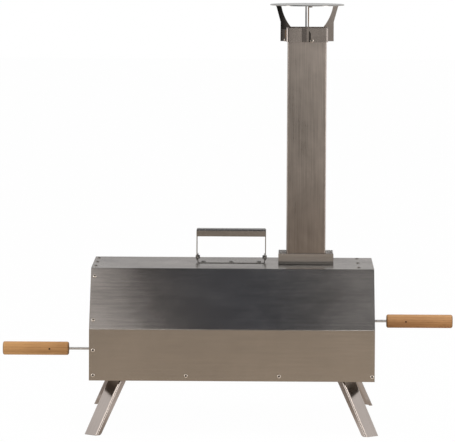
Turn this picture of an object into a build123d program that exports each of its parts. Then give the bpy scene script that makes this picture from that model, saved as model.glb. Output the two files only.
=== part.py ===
"""Tabletop pizza oven: a folded steel body on four folding legs, with a flue, a carry
handle, a lift-out door at the front and a fire tray that pulls out of the rear.

Millimetres, +Z up. +X is the door end, -X the fire end. The origin is on the ground,
under the middle of the whole length from grip end to grip end.
"""

import os
from math import atan2, cos, radians, sin

from build123d import *

# Body sheet metal
body_length = 430.0
body_width = 350.0
wall_height = 78.0
slope_rise = 85.0
slope_run = 80.0
sheet = 1.0
bend_radius = 2.5
ground_gap = 80.0
pan_rise = 12.0
end_flange = 12.0
front_recess = 29.0
seat_gap = 0.3
slide_gap = 2.0

# Screws and holes in the sheets
screw_head_radius = 2.8
screw_head_height = 1.8
screw_radius = 1.5
hole_gap = 0.1
head_gap = 0.1
head_edge = 0.4
shank_end = 1.0
screw_length = 5.0
screw_edge = 6.0
screw_row_height = 7.8
wall_screw_height = 45.7
slope_screw_shares = (0.146, 0.863)
top_screw_rear_inset = 31.0
top_screw_front_inset = 20.0

# Door mouth, measured above the lower edge of the body
mouth_bottom = 35.0
mouth_below_roof = 46.0
mouth_inset = 20.0
mouth_below_knee = 8.0
mouth_corner = 8.0
door_overlap = 8.0
door_rim = 8.0
door_plug_depth = 12.0
door_rod_height = 74.0

# Stone and what carries it
stone_side_gap = 22.0
stone_thickness = 12.0
stone_edge = 1.5
stone_height = 26.0
stone_front_gap = 13.0
rail_foot = 14.0
rail_ledge = 15.0
guard_height = 36.0
guard_foot = 12.0
guard_gap = 4.0
guard_tray_gap = 4.3

# Fire tray and grate
tray_length = 74.0
tray_width = 190.0
tray_height = 32.0
runner_height = 3.5
runner_ledge = 9.0
tray_slot_length = 46.0
tray_slot_width = 5.0
tray_slot_pitch = 22.0
tray_slot_count = 7
tray_front_width = 214.0
tray_front_bottom = 13.0
tray_front_top = 50.0
tray_rod_height = 29.0
grate_leg = 7.0
grate_gap = 1.0
grate_slot_pitch = 14.0
grate_slot_count = 11
vent_radius = 4.0
vent_pitch = 16.0
vent_group = 48.0
vent_height = 32.0
vent_count = 4

# Rods, wooden grips and pins
rod_radius = 2.0
grip_radius = 10.3
grip_length = 102.0
grip_end_radius = 3.0
grip_bore_depth = 44.0
pin_from_grip_end = 30.0
pin_radius = 1.35
tray_rod_free = 36.2
door_rod_free = 48.2
rod_end_gap = 1.0
nut_width = 7.0
nut_height = 3.0
bore_gap = 0.05

# Flue
flue_from_front = 103.3
flue_width = 59.8
flue_wall = 1.0
flue_corner = 2.0
flue_top = 361.8
socket_length = 84.4
socket_depth = 68.0
socket_height = 17.4
socket_screw_inset = 7.0
spigot_gap = 0.4
spigot_rise = 40.0
spigot_flange = 8.0

# Rain cap
collar_rise = 1.0
collar_height = 21.2
collar_wall = 1.7
collar_gap = 0.4
cap_radius = 56.8
cap_thickness = 1.5
cap_rise = 34.2
arm_sheet = 2.0
arm_offset = 0.5
arm_stand_off = 8.8
arm_bend_rise = 8.4
arm_flare = 7.0
arm_top_width = 8.0
arm_reach_in = 7.6
arm_curve_out = 1.9
arm_curve_drop = 2.1
arm_foot_height = 16.5
arm_foot_width = 9.7
arm_foot_margin = 2.2
arm_lip_width = 7.0
cap_screw_rise = 2.4
cap_screw_side = 6.9

# Carry handle
handle_flue_gap = 19.0
handle_length = 107.0
handle_depth = 25.0
handle_flange = 11.2
handle_sheet = 1.5
handle_bend = 2.5
handle_edge = 3.0
handle_rise = 52.7
strap_width = 11.0
pivot_rise = 9.0
ear_gap = 0.3
ear_sheet = 1.2
ear_top = 5.4
ear_corner = 7.0
base_depth = 24.0
base_bend = 2.0
pivot_radius = 1.75
pivot_head_radius = 2.8
pivot_head_height = 1.2
pivot_nut_width = 5.6
pivot_nut_height = 2.2
running_gap = 0.06
rivet_end_gap = 9.4
rivet_radius = 3.7
rivet_height = 2.1
rivet_shank_radius = 1.6

# Folding legs
foot_inset = 2.6
foot_spread = 19.0
leg_lean = 32.3
leg_turn = 46.3
leg_web = 26.6
leg_flange = 11.2
foot_flange = 7.7
leg_sheet = 1.2
leg_bend = 3.0
leg_toe_radius = 7.0
web_offset = 5.5
leg_head = 6.0
leg_stop_gap = 0.3
leg_bolt_radius = 2.0
leg_bolt_head_radius = 3.5
leg_bolt_head = 2.0
cheek_radius = 3.4
cheek_gap = 0.6
bracket_length = 25.0
bracket_rivet_radius = 2.8
bracket_rivet_height = 1.2
bracket_rivet_runs = (6.0, 15.0)

# Whole length over the two grips, measured from the middle of the body
reach_rear = body_length / 2 + seat_gap + sheet + tray_rod_free + grip_length
door_face_reach = body_length / 2 - front_recess + 2 * sheet + seat_gap
reach_front = door_face_reach + door_rod_free + grip_length

# Places worked out from the sizes above
body_x = (reach_rear - reach_front) / 2
half_width = body_width / 2
flat_half_width = half_width - slope_run
rear_x = body_x - body_length / 2
front_x = body_x + body_length / 2
body_height = wall_height + slope_rise
roof_z = ground_gap + body_height
pan_z = ground_gap + pan_rise
frame_x = front_x - front_recess
mouth_top = body_height - mouth_below_roof
mouth_half_width = half_width - mouth_inset
mouth_shoulder = wall_height - mouth_below_knee
foot_x = body_length / 2 - foot_inset
foot_y = half_width + foot_spread
flue_x = front_x - flue_from_front
handle_half = handle_length / 2
handle_x = flue_x - socket_length / 2 - handle_flue_gap - handle_half
slope_angle = atan2(slope_rise, slope_run)
SIDES = (-1, 1)


def body_outline(inset, bottom):
    """Corners of the body's section, moved in by a sheet or more, from a level upwards."""
    knee_shift = inset * (1 - sin(slope_angle)) / cos(slope_angle)
    top_shift = inset * (1 - cos(slope_angle)) / sin(slope_angle)
    wall_y = half_width - inset
    knee_z = ground_gap + wall_height - knee_shift
    top_y = half_width - slope_run - top_shift
    top_z = roof_z - inset
    return [
        (-wall_y, bottom),
        (-wall_y, knee_z),
        (-top_y, top_z),
        (top_y, top_z),
        (wall_y, knee_z),
        (wall_y, bottom),
    ]


def body_panel(plane, inset, bottom):
    """A flat panel of the body's section, its upper corners rounded like the bends."""
    with BuildSketch(plane) as panel:
        with BuildLine():
            Polyline(*body_outline(inset, bottom), close=True)
        make_face()
        upper_corners = panel.vertices().filter_by(lambda v: v.Y > bottom + sheet)
        fillet(upper_corners, bend_radius - inset)
    return panel.sketch


def mouth_panel(plane, grow):
    """The door mouth's outline, made larger or smaller all round."""
    shoulder_y = mouth_half_width - (mouth_top - mouth_shoulder) * slope_run / slope_rise
    with BuildSketch(plane) as panel:
        with BuildLine():
            Polyline(
                (-mouth_half_width, ground_gap + mouth_bottom),
                (-mouth_half_width, ground_gap + mouth_shoulder),
                (-shoulder_y, ground_gap + mouth_top),
                (shoulder_y, ground_gap + mouth_top),
                (mouth_half_width, ground_gap + mouth_shoulder),
                (mouth_half_width, ground_gap + mouth_bottom),
                close=True,
            )
        make_face()
        fillet(panel.vertices(), mouth_corner)
        if grow:
            offset(amount=grow, kind=Kind.ARC)
    return panel.sketch


def bent_strip(plane, points, radius, thickness, side):
    """A strip of sheet bent along a path, seen end on."""
    with BuildSketch(plane) as strip:
        with BuildLine():
            FilletPolyline(*points, radius=radius)
            offset(amount=thickness, side=side)
        make_face()
    return strip.sketch


def fastener(seat, head_radius, head_height, shank_radius, shank_length):
    """A domed head that stands on a plane, with its shank below the plane."""
    with BuildPart() as piece:
        with BuildSketch(seat):
            Circle(head_radius)
        extrude(amount=head_height)
        top = piece.faces().sort_by(Axis(seat.origin, seat.z_dir))[-1]
        chamfer(top.edges(), head_height * head_edge)
        with BuildSketch(seat):
            Circle(shank_radius)
        extrude(amount=-shank_length)
    return piece.part


def ring_nut(seat, width, height, bore_radius):
    """A hexagon nut that stands on a plane."""
    with BuildPart() as piece:
        with BuildSketch(seat):
            RegularPolygon(width / 2, 6, major_radius=False)
            Circle(bore_radius, mode=Mode.SUBTRACT)
        extrude(amount=height)
    return piece.part


# Places of the screws that hold the sheets together, each a plane on the outer face
def wall_screw(side, x, height):
    return Plane(
        origin=(x, side * half_width, ground_gap + height),
        x_dir=(1, 0, 0),
        z_dir=(0, side, 0),
    )


def slope_screw(side, x, share):
    return Plane(
        origin=(
            x,
            side * (half_width - slope_run * share),
            ground_gap + wall_height + slope_rise * share,
        ),
        x_dir=(1, 0, 0),
        z_dir=(0, side * sin(slope_angle), cos(slope_angle)),
    )


def roof_screw(x, y):
    return Plane(origin=(x, y, roof_z), x_dir=(1, 0, 0), z_dir=(0, 0, 1))


rear_screw_x = rear_x + screw_edge
front_screw_x = frame_x + end_flange / 2
last_screw_x = front_x - screw_edge + 2 * sheet
bottom_screw_pitch = (last_screw_x - rear_screw_x) / 3
bottom_screws_x = [rear_screw_x + step * bottom_screw_pitch for step in range(4)]
top_screw_rear_spread = flat_half_width - top_screw_rear_inset
top_screw_front_spread = flat_half_width - top_screw_front_inset
screw_seats = []
for side in SIDES:
    for x in bottom_screws_x:
        screw_seats.append(wall_screw(side, x, screw_row_height))
    screw_seats.append(wall_screw(side, rear_screw_x, wall_screw_height))
    for share in slope_screw_shares:
        screw_seats.append(slope_screw(side, rear_screw_x, share))
for step in (-1, 0, 1):
    screw_seats.append(roof_screw(rear_screw_x, step * top_screw_rear_spread))
    screw_seats.append(roof_screw(front_screw_x, step * top_screw_front_spread))


def drill(seats, radius, depth):
    """Round cutters for the holes below a set of planes."""
    with BuildPart() as cutters:
        for seat in seats:
            with BuildSketch(seat):
                Circle(radius)
            extrude(amount=-depth)
    return cutters.part


def rounded_square(plane, length, width, corner):
    with BuildSketch(plane) as square:
        RectangleRounded(length, width, corner)
    return square.sketch


spigot_width = flue_width - 2 * flue_wall - 2 * spigot_gap
socket_seat = Plane((flue_x, 0, roof_z))
socket_screw_places = [
    (
        sx * (socket_length / 2 - socket_screw_inset),
        sy * (socket_depth / 2 - socket_screw_inset),
    )
    for sx in SIDES
    for sy in SIDES
]
socket_screws = [
    Plane((flue_x + x, y, roof_z + sheet), x_dir=(1, 0, 0), z_dir=(0, 0, 1))
    for x, y in socket_screw_places
]
sheet_holes = drill(screw_seats, screw_radius + hole_gap, screw_length)
socket_holes = drill(socket_screws, screw_radius + hole_gap, screw_length)
ear_face = handle_half - handle_sheet - ear_gap
rivet_pitch = ear_face - rivet_end_gap
rivet_places = [handle_x + step * rivet_pitch for step in (-1, 0, 1)]
rivet_seats = [
    Plane((x, 0, roof_z + ear_sheet), x_dir=(1, 0, 0), z_dir=(0, 0, 1)) for x in rivet_places
]
rivet_holes = drill(rivet_seats, rivet_shank_radius + hole_gap, screw_length)

# Outer shell: one sheet bent over the walls, the slopes and the top
with BuildPart() as outer_shell:
    extrude(body_panel(Plane.YZ.offset(rear_x), 0, ground_gap), amount=body_length)
    extrude(
        body_panel(Plane.YZ.offset(rear_x), sheet, ground_gap),
        amount=body_length,
        mode=Mode.SUBTRACT,
    )
    extrude(
        rounded_square(socket_seat, spigot_width, spigot_width, flue_corner),
        amount=-sheet,
        mode=Mode.SUBTRACT,
    )
    add(sheet_holes, mode=Mode.SUBTRACT)
    add(socket_holes, mode=Mode.SUBTRACT)
    add(rivet_holes, mode=Mode.SUBTRACT)
outer_shell.part.label = "outer_shell"

# Rear panel: closes the fire end, with its rim turned in and a slot for the tray
slot_bottom = ground_gap + pan_rise + seat_gap
slot_top = pan_z + runner_height + tray_height + slide_gap
with BuildPart() as rear_panel:
    extrude(body_panel(Plane.YZ.offset(rear_x), sheet, ground_gap), amount=sheet)
    extrude(body_panel(Plane.YZ.offset(rear_x), sheet, pan_z + seat_gap), amount=end_flange)
    extrude(
        body_panel(Plane.YZ.offset(rear_x + sheet), 2 * sheet, ground_gap),
        amount=end_flange,
        mode=Mode.SUBTRACT,
    )
    with BuildSketch(Plane.YZ.offset(rear_x)):
        with Locations((0, (slot_bottom + slot_top) / 2)):
            Rectangle(tray_width + 2 * slide_gap, slot_top - slot_bottom)
    extrude(amount=sheet, mode=Mode.SUBTRACT)
    add(sheet_holes, mode=Mode.SUBTRACT)
rear_panel.part.label = "rear_panel"

# Front frame: set back inside the body, with its rim turned out round the door
with BuildPart() as front_frame:
    extrude(body_panel(Plane.YZ.offset(frame_x), sheet, pan_z), amount=end_flange)
    extrude(
        body_panel(Plane.YZ.offset(frame_x + sheet), 2 * sheet, pan_z + sheet),
        amount=end_flange,
        mode=Mode.SUBTRACT,
    )
    extrude(mouth_panel(Plane.YZ.offset(frame_x), 0), amount=sheet, mode=Mode.SUBTRACT)
    add(sheet_holes, mode=Mode.SUBTRACT)
front_frame.part.label = "front_frame"

# Stone and the two rails that carry it, between the flame guard and the door
tray_outer_x = rear_x - seat_gap
tray_inner_x = tray_outer_x + tray_length
tray_x = (tray_outer_x + tray_inner_x) / 2
guard_x = tray_inner_x + guard_tray_gap
stone_width = body_width - 2 * stone_side_gap
stone_length = frame_x - stone_front_gap - guard_x - guard_gap
stone_x = frame_x - stone_front_gap - stone_length / 2
stone_z = ground_gap + stone_height
with BuildPart() as pizza_stone:
    with BuildSketch(Plane.XY.offset(stone_z)):
        with Locations((stone_x, 0)):
            Rectangle(stone_length, stone_width)
    extrude(amount=stone_thickness)
    chamfer(pizza_stone.faces().sort_by(Axis.Z)[-1].edges(), stone_edge)
    chamfer(pizza_stone.faces().sort_by(Axis.Z)[0].edges(), stone_edge)
pizza_stone.part.label = "pizza_stone"


def stone_rail(side):
    """A folded rail: foot on the floor, web, and a ledge under the stone's edge."""
    web_y = stone_width / 2
    points = [
        (side * (web_y + rail_foot), pan_z),
        (side * web_y, pan_z),
        (side * web_y, stone_z),
        (side * (web_y - rail_ledge), stone_z),
    ]
    start = Plane.YZ.offset(stone_x - stone_length / 2)
    with BuildPart() as rail:
        with BuildSketch(start):
            with BuildLine():
                Polyline(
                    points[0],
                    points[1],
                    (points[1][0], points[3][1] - sheet),
                    (points[3][0], points[3][1] - sheet),
                    points[3],
                    (points[1][0] + side * sheet, points[3][1]),
                    (points[1][0] + side * sheet, pan_z + sheet),
                    (points[0][0], pan_z + sheet),
                    close=True,
                )
            make_face()
        extrude(amount=stone_length)
    return rail.part


stone_rails = {
    "stone_rail_near": stone_rail(-1),
    "stone_rail_far": stone_rail(1),
}

# Flame guard: a folded plate between the fire and the stone
with BuildPart() as flame_guard:
    with BuildSketch(Plane.XZ.offset(-stone_width / 2)):
        with BuildLine():
            Polyline(
                (guard_x, pan_z),
                (guard_x, pan_z + guard_height),
                (guard_x + sheet, pan_z + guard_height),
                (guard_x + sheet, pan_z + sheet),
                (guard_x + guard_foot, pan_z + sheet),
                (guard_x + guard_foot, pan_z),
                close=True,
            )
        make_face()
    extrude(amount=stone_width)
flame_guard.part.label = "flame_guard"

# Fire tray: an open box with slots, on two folded runners
tray_z = pan_z + runner_height + seat_gap


def front_holes(x):
    """Air holes and rod hole of the tray's front, as they pass one sheet."""
    with BuildSketch(Plane.YZ.offset(x)) as holes:
        for side in SIDES:
            with Locations((side * vent_group, ground_gap + vent_height)):
                with GridLocations(vent_pitch, 0, vent_count, 1):
                    Circle(vent_radius)
        with Locations((0, ground_gap + tray_rod_height)):
            Circle(rod_radius + bore_gap)
    return holes.sketch


with BuildPart() as fire_tray:
    with BuildSketch(Plane.XY.offset(tray_z)):
        with Locations((tray_x, 0)):
            Rectangle(tray_length, tray_width)
    extrude(amount=tray_height)
    with BuildSketch(Plane.XY.offset(tray_z + sheet)):
        with Locations((tray_x, 0)):
            Rectangle(tray_length - 2 * sheet, tray_width - 2 * sheet)
    extrude(amount=tray_height, mode=Mode.SUBTRACT)
    with BuildSketch(Plane.XY.offset(tray_z)):
        with Locations((tray_x, 0)):
            with GridLocations(0, tray_slot_pitch, 1, tray_slot_count):
                SlotOverall(tray_slot_length, tray_slot_width)
    extrude(amount=sheet, mode=Mode.SUBTRACT)
    extrude(front_holes(tray_outer_x), amount=sheet, mode=Mode.SUBTRACT)
fire_tray.part.label = "fire_tray"


def tray_runner(side):
    """A folded runner: foot on the floor and a ledge under the tray's edge."""
    edge_y = tray_width / 2
    runner_top = pan_z + runner_height
    with BuildPart() as runner:
        with BuildSketch(Plane.YZ.offset(rear_x + 2 * sheet)):
            with BuildLine():
                Polyline(
                    (side * (edge_y + runner_ledge), pan_z),
                    (side * edge_y, pan_z),
                    (side * edge_y, runner_top - sheet),
                    (side * (edge_y - runner_ledge), runner_top - sheet),
                    (side * (edge_y - runner_ledge), runner_top),
                    (side * (edge_y + sheet), runner_top),
                    (side * (edge_y + sheet), pan_z + sheet),
                    (side * (edge_y + runner_ledge), pan_z + sheet),
                    close=True,
                )
            make_face()
        extrude(amount=tray_length - 2 * sheet)
    return runner.part


tray_runners = {
    "tray_runner_near": tray_runner(-1),
    "tray_runner_far": tray_runner(1),
}

# Grate: a slotted plate on two turned-down edges inside the tray
grate_width = tray_width - 2 * sheet - 2 * grate_gap
grate_length = tray_length - 2 * sheet - 2 * grate_gap
grate_x = tray_x
grate_z = tray_z + sheet
with BuildPart() as fire_grate:
    with BuildSketch(Plane.XZ.offset(-grate_width / 2)):
        with Locations((grate_x, grate_z + grate_leg / 2)):
            Rectangle(grate_length, grate_leg)
        with Locations((grate_x, grate_z + grate_leg / 2 - sheet)):
            Rectangle(grate_length - 2 * sheet, grate_leg, mode=Mode.SUBTRACT)
    extrude(amount=grate_width)
    with BuildSketch(Plane.XY.offset(grate_z)):
        with Locations((grate_x, 0)):
            with GridLocations(0, grate_slot_pitch, 1, grate_slot_count):
                SlotOverall(tray_slot_length, tray_slot_width)
    extrude(amount=grate_leg, mode=Mode.SUBTRACT)
fire_grate.part.label = "fire_grate"

# Tray front: covers the slot from outside, with two groups of air holes
tray_front_x = tray_outer_x - sheet
tray_front_z = ground_gap + (tray_front_bottom + tray_front_top) / 2
with BuildPart() as tray_front:
    with BuildSketch(Plane.YZ.offset(tray_front_x)):
        with Locations((0, tray_front_z)):
            RectangleRounded(tray_front_width, tray_front_top - tray_front_bottom, bend_radius)
    extrude(amount=sheet)
    extrude(front_holes(tray_front_x), amount=sheet, mode=Mode.SUBTRACT)
tray_front.part.label = "tray_front"

# Door: an outer plate with a raised rim, and an inner plug that fills the mouth
door_x = frame_x + sheet + seat_gap
plug_x = door_x - door_plug_depth
plug_face = Plane(origin=(plug_x, 0, seat_gap - slide_gap), x_dir=(0, 1, 0), z_dir=(1, 0, 0))
with BuildPart() as door_panel:
    extrude(mouth_panel(Plane.YZ.offset(door_x), door_overlap), amount=door_rim)
    extrude(
        mouth_panel(Plane.YZ.offset(door_x + sheet), door_overlap - sheet),
        amount=door_rim,
        mode=Mode.SUBTRACT,
    )
    with BuildSketch(Plane.YZ.offset(door_x)):
        with Locations((0, ground_gap + door_rod_height)):
            Circle(rod_radius + bore_gap)
    extrude(amount=sheet, mode=Mode.SUBTRACT)
door_panel.part.label = "door_panel"

with BuildPart() as door_inner:
    extrude(mouth_panel(plug_face, -slide_gap), amount=door_plug_depth)
    extrude(
        mouth_panel(plug_face.offset(sheet), -slide_gap - sheet),
        amount=door_plug_depth,
        mode=Mode.SUBTRACT,
    )
    with BuildSketch(Plane.YZ.offset(plug_x)):
        with Locations((0, ground_gap + door_rod_height)):
            Circle(rod_radius + bore_gap)
    extrude(amount=sheet, mode=Mode.SUBTRACT)
door_inner.part.label = "door_inner"


def rod(start_x, end_x, height):
    """A straight steel rod along the oven."""
    with BuildPart() as bar:
        with BuildSketch(Plane.YZ.offset(min(start_x, end_x))):
            with Locations((0, height)):
                Circle(rod_radius)
        extrude(amount=abs(end_x - start_x))
    return bar.part


def grip(inner_x, side, height):
    """A turned wooden grip with rounded ends, a blind bore and a hole for its pin."""
    outer_x = inner_x + side * grip_length
    low_x = min(inner_x, outer_x)
    bore_x = inner_x if side > 0 else inner_x - grip_bore_depth
    with BuildPart() as handle:
        with BuildSketch(Plane.YZ.offset(low_x)):
            with Locations((0, height)):
                Circle(grip_radius)
        extrude(amount=grip_length)
        fillet(handle.edges().filter_by(GeomType.CIRCLE), grip_end_radius)
        with BuildSketch(Plane.YZ.offset(bore_x)):
            with Locations((0, height)):
                Circle(rod_radius + bore_gap)
        extrude(amount=grip_bore_depth, mode=Mode.SUBTRACT)
        with BuildSketch(Plane.XZ.offset(-grip_radius)):
            with Locations((inner_x + side * pin_from_grip_end, height)):
                Circle(pin_radius + bore_gap)
        extrude(amount=2 * grip_radius, mode=Mode.SUBTRACT)
    return handle.part


def grip_pin(inner_x, side, height):
    """The cross pin through grip and rod."""
    with BuildPart() as pin:
        with BuildSketch(Plane.XZ.offset(-grip_radius)):
            with Locations((inner_x + side * pin_from_grip_end, height)):
                Circle(pin_radius)
        extrude(amount=2 * grip_radius)
    return pin.part


def drilled_rod(bar, inner_x, side, height):
    """A rod with the hole that its pin passes through."""
    with BuildPart() as drilled:
        add(bar)
        with BuildSketch(Plane.XZ.offset(-grip_radius)):
            with Locations((inner_x + side * pin_from_grip_end, height)):
                Circle(pin_radius + bore_gap)
        extrude(amount=2 * grip_radius, mode=Mode.SUBTRACT)
    return drilled.part


def nut_pair(face_a, face_b, height):
    """Two nuts that clamp a plate on a rod, one each side."""
    seat_a = Plane(origin=(face_a, 0, height), x_dir=(0, 1, 0), z_dir=(1, 0, 0))
    seat_b = Plane(origin=(face_b, 0, height), x_dir=(0, 1, 0), z_dir=(-1, 0, 0))
    return Compound(
        children=[
            ring_nut(seat_a, nut_width, nut_height, rod_radius + bore_gap),
            ring_nut(seat_b, nut_width, nut_height, rod_radius + bore_gap),
        ]
    )


tray_rod_z = ground_gap + tray_rod_height
door_rod_z = ground_gap + door_rod_height
tray_grip_x = body_x - reach_rear + grip_length
door_grip_x = body_x + reach_front - grip_length
tray_rod_start = tray_outer_x + sheet + nut_height + rod_end_gap
door_rod_start = plug_x - nut_height - rod_end_gap
tray_rod_end = tray_grip_x - grip_bore_depth + rod_end_gap
door_rod_end = door_grip_x + grip_bore_depth - rod_end_gap
tray_rod = drilled_rod(rod(tray_rod_start, tray_rod_end, tray_rod_z), tray_grip_x, -1, tray_rod_z)
door_rod = drilled_rod(rod(door_rod_start, door_rod_end, door_rod_z), door_grip_x, 1, door_rod_z)
tray_grip = grip(tray_grip_x, -1, tray_rod_z)
door_grip = grip(door_grip_x, 1, door_rod_z)
tray_grip_pin = grip_pin(tray_grip_x, -1, tray_rod_z)
door_grip_pin = grip_pin(door_grip_x, 1, door_rod_z)
tray_rod_nuts = nut_pair(tray_outer_x + sheet, tray_front_x, tray_rod_z)
door_rod_nuts = nut_pair(door_x + sheet, plug_x, door_rod_z)

# Flue socket, spigot and tube
with BuildPart() as flue_socket:
    with BuildSketch(socket_seat):
        Rectangle(socket_length, socket_depth)
    extrude(amount=socket_height)
    with BuildSketch(socket_seat.offset(sheet)):
        Rectangle(socket_length - 2 * sheet, socket_depth - 2 * sheet)
    extrude(amount=socket_height, mode=Mode.SUBTRACT)
    extrude(
        rounded_square(socket_seat, spigot_width, spigot_width, flue_corner),
        amount=sheet,
        mode=Mode.SUBTRACT,
    )
    add(socket_holes, mode=Mode.SUBTRACT)
flue_socket.part.label = "flue_socket"

spigot_bottom = socket_seat.offset(-2 * sheet)
with BuildPart() as flue_spigot:
    with BuildSketch(spigot_bottom):
        Rectangle(socket_length - 2 * sheet, socket_depth - 2 * sheet)
    extrude(amount=sheet)
    extrude(
        rounded_square(spigot_bottom, spigot_width, spigot_width, flue_corner),
        amount=2 * sheet + spigot_rise,
    )
    extrude(
        rounded_square(
            spigot_bottom,
            spigot_width - 2 * sheet,
            spigot_width - 2 * sheet,
            flue_corner - sheet,
        ),
        amount=2 * sheet + spigot_rise,
        mode=Mode.SUBTRACT,
    )
    add(socket_holes, mode=Mode.SUBTRACT)
flue_spigot.part.label = "flue_spigot"

collar_inner = flue_width + 2 * collar_gap
collar_outer = collar_inner + 2 * collar_wall
collar_top = flue_top + collar_rise
collar_bottom = collar_top - collar_height
cap_screw_height = collar_bottom + cap_screw_rise
arm_bend_height = collar_top + arm_bend_rise
cap_bottom = collar_top + cap_rise


def about_flue(seat, turn):
    """A plane on the cap's +X side, turned about the flue and set on the roof."""
    spin = Location((flue_x, 0, roof_z), (0, 0, 90 * turn))
    return Plane(spin * seat.location)


cap_seat = Plane(
    origin=(collar_outer / 2 + arm_sheet, cap_screw_side, cap_screw_height),
    x_dir=(0, 1, 0),
    z_dir=(1, 0, 0),
)
cap_screw_seats = [about_flue(cap_seat, turn) for turn in range(4)]
cap_screw_length = arm_sheet + collar_wall + collar_gap + flue_wall + shank_end
cap_holes = drill(cap_screw_seats, screw_radius + hole_gap, cap_screw_length)

with BuildPart() as flue_tube:
    extrude(
        rounded_square(socket_seat.offset(sheet), flue_width, flue_width, flue_corner),
        amount=flue_top - sheet,
    )
    extrude(
        rounded_square(
            socket_seat.offset(sheet),
            flue_width - 2 * flue_wall,
            flue_width - 2 * flue_wall,
            flue_corner - flue_wall,
        ),
        amount=flue_top - sheet,
        mode=Mode.SUBTRACT,
    )
    add(cap_holes, mode=Mode.SUBTRACT)
flue_tube.part.label = "flue_tube"

with BuildPart() as cap_collar:
    extrude(
        rounded_square(
            socket_seat.offset(collar_bottom), collar_outer, collar_outer, flue_corner + collar_wall
        ),
        amount=collar_top - collar_bottom,
    )
    extrude(
        rounded_square(socket_seat.offset(collar_bottom), collar_inner, collar_inner, flue_corner),
        amount=collar_top - collar_bottom,
        mode=Mode.SUBTRACT,
    )
    add(cap_holes, mode=Mode.SUBTRACT)
cap_collar.part.label = "cap_collar"


def cap_arm(turn):
    """A flat bracket that flares up to the cap, with its foot bent along the collar."""
    spin = Location((flue_x, 0, roof_z), (0, 0, 90 * turn))
    foot_r = collar_outer / 2
    out_r = foot_r + arm_stand_off
    tip_r = out_r + arm_flare
    arm_bottom = cap_screw_height - arm_foot_margin
    arm_top = cap_bottom
    rim_z = collar_top + seat_gap
    curve_z = (arm_top + rim_z) / 2 - arm_curve_drop
    blade_plane = Plane(spin * Location(Plane.XZ.offset(-arm_offset - arm_sheet)))
    with BuildPart() as arm:
        with BuildSketch(blade_plane):
            with BuildLine():
                Polyline(
                    (foot_r, rim_z),
                    (foot_r, arm_bottom),
                    (out_r, arm_bottom),
                    (out_r, arm_bend_height),
                    (tip_r, arm_top),
                    (tip_r - arm_top_width, arm_top),
                )
                ThreePointArc(
                    (tip_r - arm_top_width, arm_top),
                    (foot_r + arm_curve_out, curve_z),
                    (foot_r - arm_reach_in, rim_z),
                )
                Line((foot_r - arm_reach_in, rim_z), (foot_r, rim_z))
            make_face()
        extrude(amount=arm_sheet)
        with BuildSketch(Plane(spin * Location(Plane.YZ.offset(foot_r)))):
            with BuildLine():
                Polyline(
                    (arm_offset, arm_bottom),
                    (arm_foot_width, arm_bottom),
                    (arm_foot_width, arm_bottom + 2 * screw_head_radius),
                    (arm_offset + arm_sheet + shank_end, arm_bottom + arm_foot_height),
                    (arm_offset, arm_bottom + arm_foot_height),
                    close=True,
                )
            make_face()
        extrude(amount=arm_sheet)
        with BuildSketch(Plane(spin * Location((0, 0, arm_top - arm_sheet)))):
            with Locations((tip_r - arm_top_width / 2, arm_offset + arm_lip_width / 2)):
                Rectangle(arm_top_width, arm_lip_width)
        extrude(amount=arm_sheet)
        add(cap_holes, mode=Mode.SUBTRACT)
    return arm.part


cap_arms = {
    "cap_arm_right": cap_arm(0),
    "cap_arm_back": cap_arm(1),
    "cap_arm_left": cap_arm(2),
    "cap_arm_front": cap_arm(3),
}

with BuildPart() as rain_cap:
    with BuildSketch(socket_seat.offset(cap_bottom)):
        Circle(cap_radius)
    extrude(amount=cap_thickness)
    chamfer(rain_cap.faces().sort_by(Axis.Z)[-1].edges(), cap_thickness * head_edge)
rain_cap.part.label = "rain_cap"

# Carry handle: riveted base with two ears, and the folding grip
pivot_z = roof_z + pivot_rise
with BuildPart() as handle_base:
    extrude(
        bent_strip(
            Plane.XZ.offset(-base_depth / 2),
            [
                (handle_x - ear_face, pivot_z + ear_top),
                (handle_x - ear_face, roof_z),
                (handle_x + ear_face, roof_z),
                (handle_x + ear_face, pivot_z + ear_top),
            ],
            base_bend,
            ear_sheet,
            Side.LEFT,
        ),
        amount=base_depth,
    )
    fillet(
        handle_base.edges()
        .filter_by(Axis.X)
        .filter_by(lambda e: e.center().Z > pivot_z + ear_top / 2),
        ear_corner,
    )
    with BuildSketch(Plane.YZ.offset(handle_x - ear_face)):
        with Locations((0, pivot_z)):
            Circle(pivot_radius + running_gap)
    extrude(amount=2 * ear_face, mode=Mode.SUBTRACT)
    add(rivet_holes, mode=Mode.SUBTRACT)
handle_base.part.label = "handle_base"

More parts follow.
